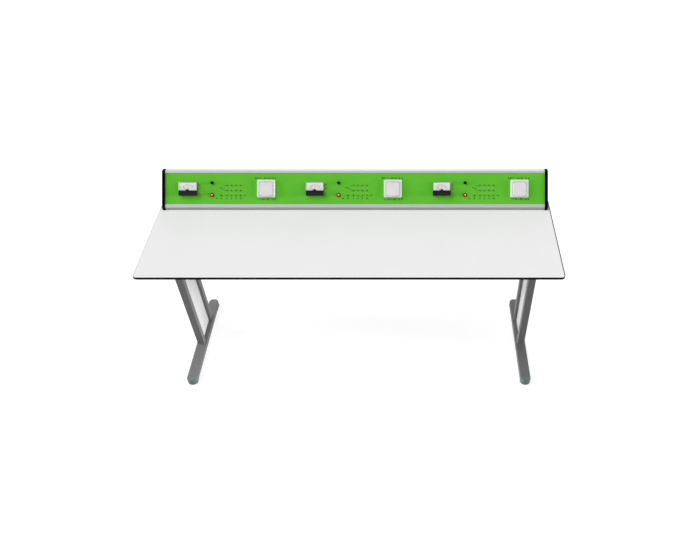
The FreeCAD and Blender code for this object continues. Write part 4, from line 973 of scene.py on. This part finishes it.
@dataclass
class Leg:
    """One welded C-shaped leg: foot, two posts, top rail, infill panel and its moulded caps."""

    side: Side
    foot_top: float = 42.0
    rail_bottom: float = 718.0
    post_width: float = 35.0
    post_depth: float = 30.0
    post_radius: float = 2.5
    weld: float = 3.2
    ripple: float = 0.5
    ripple_step: float = 1.05
    weld_pitch: float = 1.6
    weld_steps: int = 6
    hollow_share: float = 0.92
    seat_share: float = 0.98
    cap_lift: float = 8.0
    cap_height: float = 42.4
    cap_half: float = 25.4
    cap_nose: float = 24.0
    cap_radius: float = 22.0
    cap_edge: float = 3.0
    cap_corner: float = 0.02
    cap_ease: float = 1.2
    tube_half: float = 25.0
    plug_inset: float = 2.2
    plug_length: float = 25.0
    sole_half: float = 21.0
    sole_reach: float = 8.0
    sole_length: float = 28.0
    sole_height: float = 12.0
    sole_radius: float = 2.0
    sole_ease: float = 1.0

    def build(self) -> None:
        """Dress the tubes and add the welds and the moulded caps."""
        name = self.side.value
        for stem in ("foot_tube", "front_upright", "rear_upright", "top_rail"):
            dress(f"{stem}_{name}", FRAME_PAINT, 0.9)
        dress(f"infill_panel_{name}", INFILL_BOARD, 0.4)
        self.build_welds()
        for end in End:
            self.build_cap(end)

    def build_welds(self) -> None:
        """Lay a rippled fillet weld around both ends of each post, painted with the frame."""
        shape = Shape()
        for stem in ("front_upright", "rear_upright"):
            middle = node_middle(f"{stem}_{self.side.value}")
            for level, up in ((self.foot_top, 1.0), (self.rail_bottom, -1.0)):
                self.add_bead(shape, middle, level, up)
        shape.build(f"weld_beads_{self.side.value}", FRAME_PAINT, angle=60.0)

    def add_bead(self, shape: Shape, middle: Vector, level: float, up: float) -> None:
        """Add one bead around a post.

        Args:
            shape: Mesh that gets it.
            middle: Middle of the post.
            level: Height of the plate that the post stands on or under.
            up: 1 where the post rises from the level, and -1 where it hangs below it.
        """
        half_x, half_y = self.post_width / 2.0, self.post_depth / 2.0
        track = rounded_outline(-half_x, half_x, -half_y, half_y, (self.post_radius,) * 4, 0.0, 4)
        line: list[tuple[float, float]] = []
        for number, (x, y, _) in enumerate(track):
            after = track[(number + 1) % len(track)]
            away_x, away_y = after[0] - x, after[1] - y
            count = max(1, round(math.hypot(away_x, away_y) / self.weld_pitch))
            line += [(x + away_x * step / count, y + away_y * step / count) for step in range(count)]
        loops = []
        for row in range(self.weld_steps + 1):
            angle = QUARTER_TURN * row / self.weld_steps
            loop = []
            for number, (x, y) in enumerate(line):
                # Each ripple is one dab of the torch, about 3 mm long.
                swell = self.weld + self.ripple * math.sin(number * self.ripple_step)
                reach = swell * (1.0 - self.hollow_share * math.sin(angle))
                climb = swell * (1.0 - self.hollow_share * math.cos(angle))
                grow = 1.0 + reach / math.hypot(x, y)
                loop.append((middle.x + x * grow, middle.y + y * grow, level + up * climb))
            loops.append(loop)
        seat = [(middle.x + x * self.seat_share, middle.y + y * self.seat_share) for x, y in line]
        inner = [(x, y, level + up * self.weld) for x, y in seat]
        base = [(x, y, level) for x, y in seat]
        rows = [base, *loops, inner] if up > 0 else [inner, *reversed(loops), base]
        shape.stacked(rows, Matrix.Identity(4))

    def build_cap(self, end: End) -> None:
        """Make one moulded foot cap: rounded nose, sole under the tube and plug inside it.

        Args:
            end: Which end of the foot it closes.
        """
        node = f"foot_cap_{end.value}_{self.side.value}"
        tube_low, tube_high = node_box(f"foot_tube_{self.side.value}")
        middle_x = (tube_low.x + tube_high.x) / 2.0
        mouth = tube_low.y if end is End.FRONT else tube_high.y
        turn = Matrix.Rotation(math.pi if end is End.FRONT else 0.0, 4, "Z")
        place = Matrix.Translation((middle_x, mouth, 0.0)) @ turn
        shape = Shape()
        half, nose = self.cap_half, self.cap_nose
        loops = []
        for level, inset in self.rim_levels():
            radii = (self.cap_radius - inset,) * 2 + (self.cap_corner,) * 2
            loops.append(rounded_outline(inset - half, half - inset, 0.0, nose - inset, radii, level, 10))
        shape.stacked(loops, place)
        sole = []
        for level, cut in ((0.0, self.sole_ease), (self.sole_ease, 0.0), (self.sole_height, 0.0)):
            wide, back, front = self.sole_half - cut, cut - self.sole_length, self.sole_reach - cut
            sole.append(rounded_outline(-wide, wide, back, front, (self.sole_radius,) * 4, level, 3))
        shape.stacked(sole, place)
        wide = self.tube_half - self.plug_inset
        low, high = self.sole_height + self.plug_inset, self.foot_top - self.plug_inset
        plug = [[(x, y, z) for x, z in ((wide, high), (-wide, high), (-wide, low), (wide, low))]
                for y in (0.0, -self.plug_length)]
        shape.stacked(plug, place)
        piece = shape.build(f"moulded_{node}", CAP_NYLON, angle=40.0)
        dress(node, CAP_NYLON)
        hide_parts(node)

    def rim_levels(self) -> list[tuple[float, float]]:
        """Find the outlines of a cap from its foot to its soft upper edge.

        Returns:
            Height and inset of each.
        """
        curve = [polar(self.cap_edge, QUARTER_TURN * step / 5.0) for step in range(6)]
        rim = [(self.cap_height - self.cap_edge + up, self.cap_edge - along) for along, up in curve]
        return [(self.cap_lift, self.cap_ease), (self.cap_lift + self.cap_ease, 0.0), *rim]


@dataclass
class Underframe:
    """Crossbeams between the legs, with their plates, bolts, nuts and clips."""

    def build(self) -> None:
        """Dress the beams and the fixings."""
        for name in ("crossbeam_front", "crossbeam_rear"):
            dress(name, FRAME_PAINT, 0.8)
        for name in ("beam_bolts", "beam_nuts", "infill_brackets"):
            dress(name, ZINC_PLATE)
        dress("rail_plugs", PLUG_NYLON, 0.6)


@dataclass
class ConsoleHousing:
    """Extruded housing with its end caps, screws, green front sheet, supply blocks and gland."""

    cap_edge: float = 0.5

    def build(self) -> None:
        """Dress the housing and what it holds."""
        dress("console_profile", CONSOLE_METAL)
        dress("fascia", GREEN_SHEET)
        dress("supply_modules", CORE_STACK)
        dress("supply_gland", GLAND_NYLON, 0.5)
        for side in Side:
            dress(f"end_cap_{side.value}", END_CAP_ABS, self.cap_edge)
        dress("end_cap_screws", BLACK_OXIDE)


@dataclass
class PanelMeter:
    """Moving-coil panel meter: phenolic case, clear window, printed dial and needle."""

    number: int
    pivot: float = -13.0
    card_level: float = 7.0
    rise: float = 85.0
    scale_radius: float = 32.0
    scale_half: float = 45.0
    band: float = 1.6
    major_tick: float = 3.0
    divisions: int = 20
    numbers: tuple[int, ...] = (0, 5, 10, 15, 20)
    number_drop: float = 5.4
    number_height: float = 3.3
    # A print that crosses another is thicker, so that no two faces lie in one plane.
    tick_print: float = 0.035
    red_print: float = 0.04
    screw_place: tuple[float, float, float, float] = (0.0, -12.6, 19.5, 24.0)
    screw_radius: float = 3.4
    ridge_half: float = 2.0407

    def at(self, x: float, y: float, out: float, turn: float = 0.0) -> Matrix:
        """Frame on the meter, from its middle."""
        return FACE.frame_at(node_middle(f"meter_case_{self.number}").x + x, self.rise + y, out, turn)

    def build(self) -> None:
        """Dress the case and needle, print the dial and add the zero screw."""
        dress(f"meter_case_{self.number}", METER_PHENOLIC, 0.6)
        dress(f"meter_needle_{self.number}", NEEDLE_LACQUER)
        self.print_dial()
        self.build_zero_screw()

    def spot(self, radius: float, angle: float) -> tuple[float, float]:
        """Point of the dial at a distance from the pivot and an angle in degrees from straight up."""
        return polar(radius, QUARTER_TURN + math.radians(angle))

    def arc(self, radius: float, start: float, end: float, steps: int = 24) -> list[tuple[float, float]]:
        """Points of an arc about the pivot, with angles in degrees from straight up."""
        return [self.spot(radius, start + (end - start) * step / steps) for step in range(steps + 1)]

    def print_dial(self) -> None:
        """Print the scale, its numbers and its red end zone on the card."""
        black, red = Shape(), Shape()
        card = self.at(0.0, self.pivot, self.card_level)
        half, scale = self.scale_half, self.scale_radius
        inner = scale - self.band
        black.ribbon(self.arc(scale, half, -half), 0.4, card)
        black.ribbon(self.arc(inner, half, -half), 0.2, card)
        for tick in range(self.divisions + 1):
            angle = half - 2.0 * half * tick / self.divisions
            reach, width = (self.major_tick, 0.5) if tick % 5 == 0 else (self.band, 0.28)
            line = [self.spot(inner, angle), self.spot(scale + reach, angle)]
            black.ribbon(line, width, card, self.tick_print)
        marks = []
        for index, number in enumerate(self.numbers):
            angle = half - 2.0 * half * index / (len(self.numbers) - 1)
            marks.append((str(number), self.number_height, self.spot(scale - self.number_drop, angle), 0.0))
        marks += [("~ 1.5", 3.0, (-27.0, 9.6), 0.1), ("V", 4.4, (27.0, 10.4), 0.1)]
        for text, height, (x, y), weight in marks:
            black.lettered(text, height, card @ Matrix.Translation((x, y, 0.0)), weight)
        red.ribbon(self.arc(scale + 0.8, -36.0, -half, 6), 0.9, card, self.red_print)
        red.ribbon([(0.0, 17.6), (0.0, 22.4)], 1.9, card, self.red_print)
        black.build(f"dial_scale_{self.number}", DIAL_INK)
        red.build(f"dial_red_zone_{self.number}", DIAL_RED_INK)

    def build_zero_screw(self) -> None:
        """Add the slotted screw in the skirt that sets the needle to zero."""
        shape = Shape()
        place = self.at(*self.screw_place)
        wide, half = self.screw_radius, self.ridge_half
        shape.turned([(wide, -0.4), (wide, 0.5), (wide - 0.4, 0.8)], place, 28)
        # Two ridges leave the slot between them.
        for low, high in ((-2.2, -0.45), (0.45, 2.2)):
            ridge = [rounded_outline(-half, half, low, high, (0.4,) * 4, level, 3) for level in (0.7, 1.2)]
            shape.stacked(ridge, place)
        shape.build(f"zero_screw_{self.number}", METER_PHENOLIC)


@dataclass
class LowVoltageSockets:
    """All sockets of one colour: moulded flange and barrel with a metal contact sleeve."""

    colour: SocketColour
    flange: float = 3.6
    flange_height: float = 1.8
    barrel: float = 3.0
    barrel_length: float = 18.0
    bore: float = 2.0
    bore_depth: float = 14.2
    sleeve: float = 0.45
    rows: dict[SocketColour, tuple[float, ...]] = field(
        default_factory=lambda: {
            SocketColour.RED: (101.5, 55.2), SocketColour.BLUE: (78.0,), SocketColour.BLACK: (55.2,)
        }
    )

    def spots(self) -> list[Matrix]:
        """Frames of all sockets of this colour."""
        columns = [FACE.zero_column] if self.colour is SocketColour.BLACK else FACE.columns()
        return [FACE.frame_at(FACE.station(station) + column, rise)
                for station in STATIONS for rise in self.rows[self.colour] for column in columns]

    def build(self) -> None:
        """Make the sockets in place of the CAD's faceted ones, and their sleeves."""
        finish = {
            SocketColour.RED: RED_NYLON, SocketColour.BLUE: BLUE_NYLON, SocketColour.BLACK: BLACK_NYLON
        }[self.colour]
        body, sleeves = Shape(), Shape()
        bore, wide, high = self.bore, self.flange, self.flange_height
        rings: list[Ring] = [
            (AXIS, -self.bore_depth), (bore, -self.bore_depth), (bore, high - 0.7),
            (bore + 0.45, high - 0.1), (bore + 0.8, high), (wide - 0.6, high),
            (wide - 0.15, high - 0.25), (wide, high - 0.7), (wide, 0.02),
            (self.barrel, 0.0), (self.barrel, -self.barrel_length), (AXIS, -self.barrel_length),
        ]
        inner, low = bore - self.sleeve, 0.1 - self.bore_depth
        tube: list[Ring] = [
            (inner, low), (inner, high - 1.5), (inner + 0.2, high - 1.2),
            (bore - 0.05, high - 1.2), (bore - 0.02, low), (inner, low),
        ]
        for place in self.spots():
            body.turned(rings, place, 24)
            sleeves.turned(tube, place, 20)
        stem = self.colour.name.lower()
        piece = body.build(f"{stem}_socket_bodies", finish)
        dress(self.colour.value, finish)
        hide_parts(self.colour.value)
        sleeves.build(f"{stem}_socket_sleeves", SLEEVE_BRASS)


@dataclass
class FusePoint:
    """Panel fuse holder's knurled bayonet cap."""

    number: int
    cap_radius: float = 6.2
    foot: float = 2.3
    cap_height: float = 8.0
    barrel: float = 4.5
    barrel_length: float = 19.7
    ridges: int = 24
    ridge_depth: float = 0.45
    coin_slot_half: float = 0.7

    def build(self) -> None:
        """Make the cap in place of the CAD's faceted one."""
        place = FACE.frame_at(FACE.station(self.number), FACE.fuse_rise)
        cap = Shape()
        foot, top, wide = self.foot, self.foot + self.cap_height, self.cap_radius
        grip = wavy_radius(wide, self.ridge_depth, self.ridges)
        rings: list[Ring] = [
            (AXIS, -self.barrel_length), (self.barrel, -self.barrel_length), (self.barrel, foot),
            (wide - 0.6, foot), (grip, foot + 0.6), (grip, top - 1.6), (wide - 0.7, top - 1.1),
            (wide - 1.3, top - 0.7), (wide - 1.9, top - 0.6), (AXIS, top - 0.6),
        ]
        cap.turned(rings, place, 96)
        # The coin slot stands between two raised half moons.
        for side in (-1.0, 1.0):
            loops = []
            for level, cut in ((top - 0.7, 0.0), (top - 0.2, 0.0), (top, 0.25)):
                radius = wide - 1.7 - cut
                limit = math.acos((self.coin_slot_half + cut) / radius)
                angles = [limit * (1.0 - step / 8.0) for step in range(17)]
                loops.append([(*polar(side * radius, angle), level) for angle in angles])
            cap.stacked(loops, place)
        piece = cap.build(f"fuse_cap_knurled_{self.number}", FUSE_PHENOLIC, f"fuse_cap_{self.number}")
        dress(f"fuse_cap_{self.number}", FUSE_PHENOLIC)
        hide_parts(f"fuse_cap_{self.number}")


@dataclass
class FuseHolders:
    """The three fixed holders that the fuse caps turn in, each with its nut."""

    flange: float = 7.5
    flange_height: float = 2.0
    bore: float = 4.8
    bore_depth: float = 24.0
    thread: float = 6.0
    thread_length: float = 28.0
    nut_half: float = 8.5
    nut_depth: tuple[float, float] = (6.0, 3.0)

    def build(self) -> None:
        """Make the holders in place of the CAD's faceted ones."""
        shape = Shape()
        wide, high = self.flange, self.flange_height
        rings: list[Ring] = [
            (AXIS, -self.bore_depth), (self.bore, -self.bore_depth), (self.bore, high), (wide - 0.9, high),
            (wide - 0.25, high - 0.3), (wide, high - 0.9), (wide, 0.0), (self.thread, 0.0),
            (self.thread, -self.thread_length), (AXIS, -self.thread_length),
        ]
        low, top = (-depth for depth in self.nut_depth)
        hexagon, hole = polygon_radius(self.nut_half, 6), self.thread + 0.02
        nut: list[Ring] = [(hole, low), (hexagon, low), (hexagon, top), (hole, top), (hole, low)]
        for station in STATIONS:
            place = FACE.frame_at(FACE.station(station), FACE.fuse_rise)
            shape.turned(rings, place, 40)
            shape.turned(nut, place, 48)
        piece = shape.build("fuse_holder_bodies", FUSE_PHENOLIC)
        dress("fuse_holders", FUSE_PHENOLIC)
        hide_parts("fuse_holders")


@dataclass
class LampSwitches:
    """Lit push switches: red bezels and the buttons that travel in them."""

    rise: float = 57.2
    bezel: float = 10.0
    bezel_height: float = 3.0
    body: float = 8.0
    body_length: float = 26.0
    bore: float = 5.8
    bore_depth: float = 12.0
    button: float = 5.5
    button_top: float = 5.2
    button_length: float = 9.0
    dome: float = 1.3

    def build(self) -> None:
        """Make the bezels and the domed buttons in place of the CAD's faceted ones."""
        housings = Shape()
        bore, wide, high = self.bore, self.bezel, self.bezel_height
        rings: list[Ring] = [
            (AXIS, high - self.bore_depth), (bore, high - self.bore_depth), (bore, high - 0.4),
            (bore + 0.4, high), (wide - 2.6, high), (wide - 1.4, high - 0.5),
            (wide - 0.5, high - 1.3), (wide, high - 2.3), (wide, 0.0),
            (self.body, 0.0), (self.body, -self.body_length), (AXIS, -self.body_length),
        ]
        for station in STATIONS:
            place = FACE.frame_at(FACE.station(station), self.rise)
            housings.turned(rings, place, 48)
            self.build_button(station, place)
        piece = housings.build("switch_bezel_housings", BEZEL_ABS)
        dress("switch_housings", BEZEL_ABS)
        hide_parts("switch_housings")

    def build_button(self, station: int, place: Matrix) -> None:
        """Make one domed lens button.

        Args:
            station: Number of its station.
            place: Frame of the switch on the fascia.
        """
        shape = Shape()
        low, shoulder = self.button_top - self.button_length, self.button_top - self.dome
        rings: list[Ring] = [(AXIS, low), (self.button, low), (self.button, shoulder)]
        for step in range(1, 8):
            out, up = polar(1.0, QUARTER_TURN * step / 7.0)
            rings.append((max(AXIS, self.button * out), shoulder + self.dome * up))
        shape.turned(rings, place, 40)
        name = f"switch_button_{station}"
        piece = shape.build(f"{name}_lens", BUTTON_LENS, name, origin=place)
        dress(name, BUTTON_LENS)
        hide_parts(name)


@dataclass
class MainsSockets:
    """White mains sockets: frame, insert, earth clips, sprung lid and its hinge."""

    hinge_rise: float = 115.0
    hinge_height: float = 8.6
    spring_reach: float = 5.5
    coil_radius: float = 1.74
    wire: float = 0.44
    turns: int = 11
    coil_steps: int = 20
    wire_steps: int = 8
    plug_side: float = 23.6
    plug_radius: float = 1.2
    lug_top: float = 10.8

    def build(self) -> None:
        """Dress the sockets, wind the lid springs and plug the lugs."""
        for station in STATIONS:
            dress(f"mains_plate_{station}", PLATE_UREA, 0.5)
            dress(f"mains_lid_{station}", LID_UREA, 0.4)
        dress("mains_inserts", INSERT_UREA, 0.3)
        dress("earth_clips", EARTH_BRASS)
        dress("hinge_pins", PIN_STEEL)
        self.wind_springs()
        self.plug_lugs()

    def plug_lugs(self) -> None:
        """Close each hinge lug with a small dark plug, low enough for the lid's corner to pass over it."""
        shape = Shape()
        wide = self.plug_radius
        rings: list[Ring] = [(AXIS, -0.9), (wide, -0.9), (wide, 0.0), (wide - 0.2, 0.05), (AXIS, 0.06)]
        for station in STATIONS:
            x = FACE.station(station) + FACE.mains_column
            for side in (-1.0, 1.0):
                place = FACE.frame_at(x + side * self.plug_side, self.hinge_rise, self.lug_top)
                shape.turned(rings, place, 20)
        shape.build("hinge_lug_plugs", PLUG_POLYAMIDE)

    def wind_springs(self) -> None:
        """Wind a wire spring on each hinge pin in place of the CAD's sleeve."""
        shape = Shape()
        corners = range(self.wire_steps)
        section = [polar(self.wire, FULL_TURN * corner / self.wire_steps) for corner in corners]
        total = self.turns * self.coil_steps
        loops = []
        for step in range(total + 1):
            turn = FULL_TURN * step / self.coil_steps
            along = (self.spring_reach - self.wire) * (2.0 * step / total - 1.0)
            loops.append([(along + side, *polar(self.coil_radius + out, turn)) for out, side in section])
        for station in STATIONS:
            x = FACE.station(station) + FACE.mains_column
            shape.stacked(loops, FACE.frame_at(x, self.hinge_rise, self.hinge_height))
        # The coils get the pale finish that paints light into the shaded notch.
        piece = shape.build("lid_spring_coils", SPRING_PAINTED_PALE, angle=60.0)
        dress("lid_springs", SPRING_PAINTED_PALE)
        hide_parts("lid_springs")


@dataclass
class StationLegends:
    """Generic numbers and signs printed beside a station's sockets."""

    number: int
    digits: float = 7.4
    weight: float = 0.55
    stroke: float = 2.2
    words_height: float = 7.2
    words_spread: float = 1.16
    lower_row: float = 41.3
    socket_lines: tuple[tuple[str, float, float], ...] = (
        ("230 V ~ 50 Hz 16 A", -4.0, 134.4), ("L + N + PE  16 A", 2.0, 37.2)
    )
    values: tuple[int, ...] = (0, 3, 6, 9, 12)
    direct_spots: tuple[tuple[float, float], ...] = ((20.0, 41.3), (150.0, 55.2))
    wave_spot: tuple[float, float] = (41.0, 89.8)
    bracket_spot: tuple[float, float] = (54.0, 89.8)
    terminal_spots: tuple[tuple[float, float], ...] = ((-58.0, 103.0), (-58.0, 87.0))

    def build(self) -> None:
        """Print the legends of one station."""
        x = FACE.station(self.number)
        shape = Shape()
        for value, offset in zip(self.values, [FACE.zero_column, *FACE.columns()]):
            shape.lettered(str(value), self.digits, FACE.frame_at(x + offset, self.lower_row), self.weight)
        for words, shift, rise in self.socket_lines:
            spot = FACE.frame_at(x + FACE.mains_column + shift, rise)
            shape.lettered(words, self.words_height, spot, self.weight, self.words_spread)
        for lines, width, spots in self.signs():
            for offset, rise in spots:
                for line in lines:
                    shape.ribbon(line, width, FACE.frame_at(x + offset, rise))
        shape.build(f"station_legends_{self.number}", LEGEND_INK)

    def signs(self) -> list[tuple[list[Any], float, Sequence[tuple[float, float]]]]:
        """Signs of the station.

        Returns:
            Lines of each sign, their width, and the places of its middle from the station's line.
        """
        # A line over three dashes stands for direct current, and a wave for alternating current.
        direct = [[(-5.0, 1.6), (5.0, 1.6)]] + [[(x, -1.6), (x + 2.8, -1.6)] for x in (-5.0, -1.4, 2.2)]
        wave = [(8.6 * (step / 10.0 - 1.0), 3.2 * math.sin(math.pi * step / 10.0)) for step in range(21)]
        # Thin lines lead from the wave to the two rows that it stands for.
        bracket = [[(-1.6, 3.4), (1.6, 11.7), (6.4, 11.7)], [(-1.6, -3.4), (1.6, -11.8), (6.4, -11.8)]]
        # The terminals beside the meter are marked with a ring and a short line.
        ring = [polar(1.8, FULL_TURN * step / 16.0) for step in range(17)]
        return [
            (direct, self.stroke, self.direct_spots), ([wave], self.stroke * 1.2, [self.wave_spot]),
            (bracket, 1.5, [self.bracket_spot]), ([ring, [(3.4, 0.0), (6.8, 0.0)]], 1.6, self.terminal_spots),
        ]


@dataclass
class MeterGlazing:
    """The shared nodes of the three meters: windows, cards and movements."""

    def build(self) -> None:
        """Dress them."""
        dress("meter_covers", METER_WINDOW, 0.5)
        dress("meter_dials", METER_CARD)
        dress("meter_movements", CAN_STEEL)


@dataclass
class Studio:
    """Camera, plain soft light and pale floor."""

    camera_place: tuple[float, float, float] = (0.2573, -2.234, 2.711)
    camera_tilt: float = 45.0
    lens: float = 34.14
    sensor: float = 36.0
    far_limit: float = 60.0
    shift: float = -0.0871
    ambient: float = 0.24
    top_light: float = 1.82
    side_light: float = 2.25
    back_light: float = 0.8
    lamp_height: float = 4.0
    floor_reach: float = 30.0
    floor_cells: int = 12
    floor_level: float = -0.0002

    def build(self) -> None:
        """Set up the view, the light and the floor."""
        bpy.context.scene.view_settings.view_transform = "Standard"
        self.build_camera()
        self.build_world()
        self.build_lamps()
        self.build_floor()

    def build_camera(self) -> None:
        """Place the camera where the photograph was taken from."""
        data = bpy.data.cameras.new("photo_camera")
        data.lens = self.lens
        data.sensor_width = self.sensor
        data.sensor_fit = "HORIZONTAL"
        data.shift_x = self.shift
        data.clip_end = self.far_limit
        camera = bpy.data.objects.new("photo_camera", data)
        camera.location = self.camera_place
        camera.rotation_euler = (math.radians(self.camera_tilt), 0.0, 0.0)
        show(camera)
        bpy.context.scene.camera = camera

    def build_world(self) -> None:
        """Make an even soft sky that the camera sees as white."""
        world = bpy.data.worlds.new("studio_sky")
        world.use_nodes = True
        tree = world.node_tree
        tree.nodes.clear()
        soft = add_node(tree, "ShaderNodeBackground", {"Color": linear("#FFFFFF"), "Strength": self.ambient})
        white = add_node(tree, "ShaderNodeBackground", {"Color": linear("#FFFFFF"), "Strength": 1.0})
        pair = {0: seen_rays(tree), 1: soft.outputs["Background"], 2: white.outputs["Background"]}
        mixed = add_node(tree, "ShaderNodeMixShader", pair)
        add_node(tree, "ShaderNodeOutputWorld", {"Surface": mixed.outputs["Shader"]})
        bpy.context.scene.world = world

    def build_lamps(self) -> None:
        """Hang one soft light at the upper left, a low one at each side and a weak one behind."""
        for name, power, tip, lean, swing, spread in (
            ("upper_left_softbox", self.top_light, 0.0, -38.0, 0.0, 40.0),
            ("left_softbox", self.side_light, 0.0, -81.0, 7.5, 16.0),
            ("right_softbox", self.side_light, 0.0, 81.0, -7.5, 16.0),
            ("back_softbox", self.back_light, -72.0, 0.0, 0.0, 40.0),
        ):
            lamp = bpy.data.lights.new(name, "SUN")
            lamp.energy = power
            lamp.angle = math.radians(spread)
            item = bpy.data.objects.new(name, lamp)
            item.location = (0.0, 0.0, self.lamp_height)
            item.rotation_euler = (math.radians(tip), math.radians(lean), math.radians(swing))
            show(item)

    def build_floor(self) -> None:
        """Lay the floor as a fine grid, just under the feet."""
        count = self.floor_cells
        steps = [self.floor_reach * (2.0 * step / count - 1.0) for step in range(count + 1)]
        points = [(x, y, self.floor_level) for y in steps for x in steps]
        starts = [row * (count + 1) + cell for row in range(count) for cell in range(count)]
        mesh = bpy.data.meshes.new("studio_floor")
        mesh.from_pydata(points, [], [(at, at + 1, at + count + 2, at + count + 1) for at in starts])
        mesh.materials.append(paint(StudioFloor("studio_floor_paint")))
        floor = bpy.data.objects.new("studio_floor", mesh)
        show(floor)


def main() -> None:
    """Build the studio and every sub-assembly in order."""
    logging.basicConfig(level=logging.INFO, format="%(name)s: %(message)s")
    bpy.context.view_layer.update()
    Studio().build()
    Worktop().build()
    for side in Side:
        Leg(side).build()
    Underframe().build()
    ConsoleHousing().build()
    MeterGlazing().build()
    FuseHolders().build()
    LampSwitches().build()
    MainsSockets().build()
    for colour in SocketColour:
        LowVoltageSockets(colour).build()
    for station in STATIONS:
        PanelMeter(station).build()
        FusePoint(station).build()
        StationLegends(station).build()


if __name__ == "__main__":
    main()
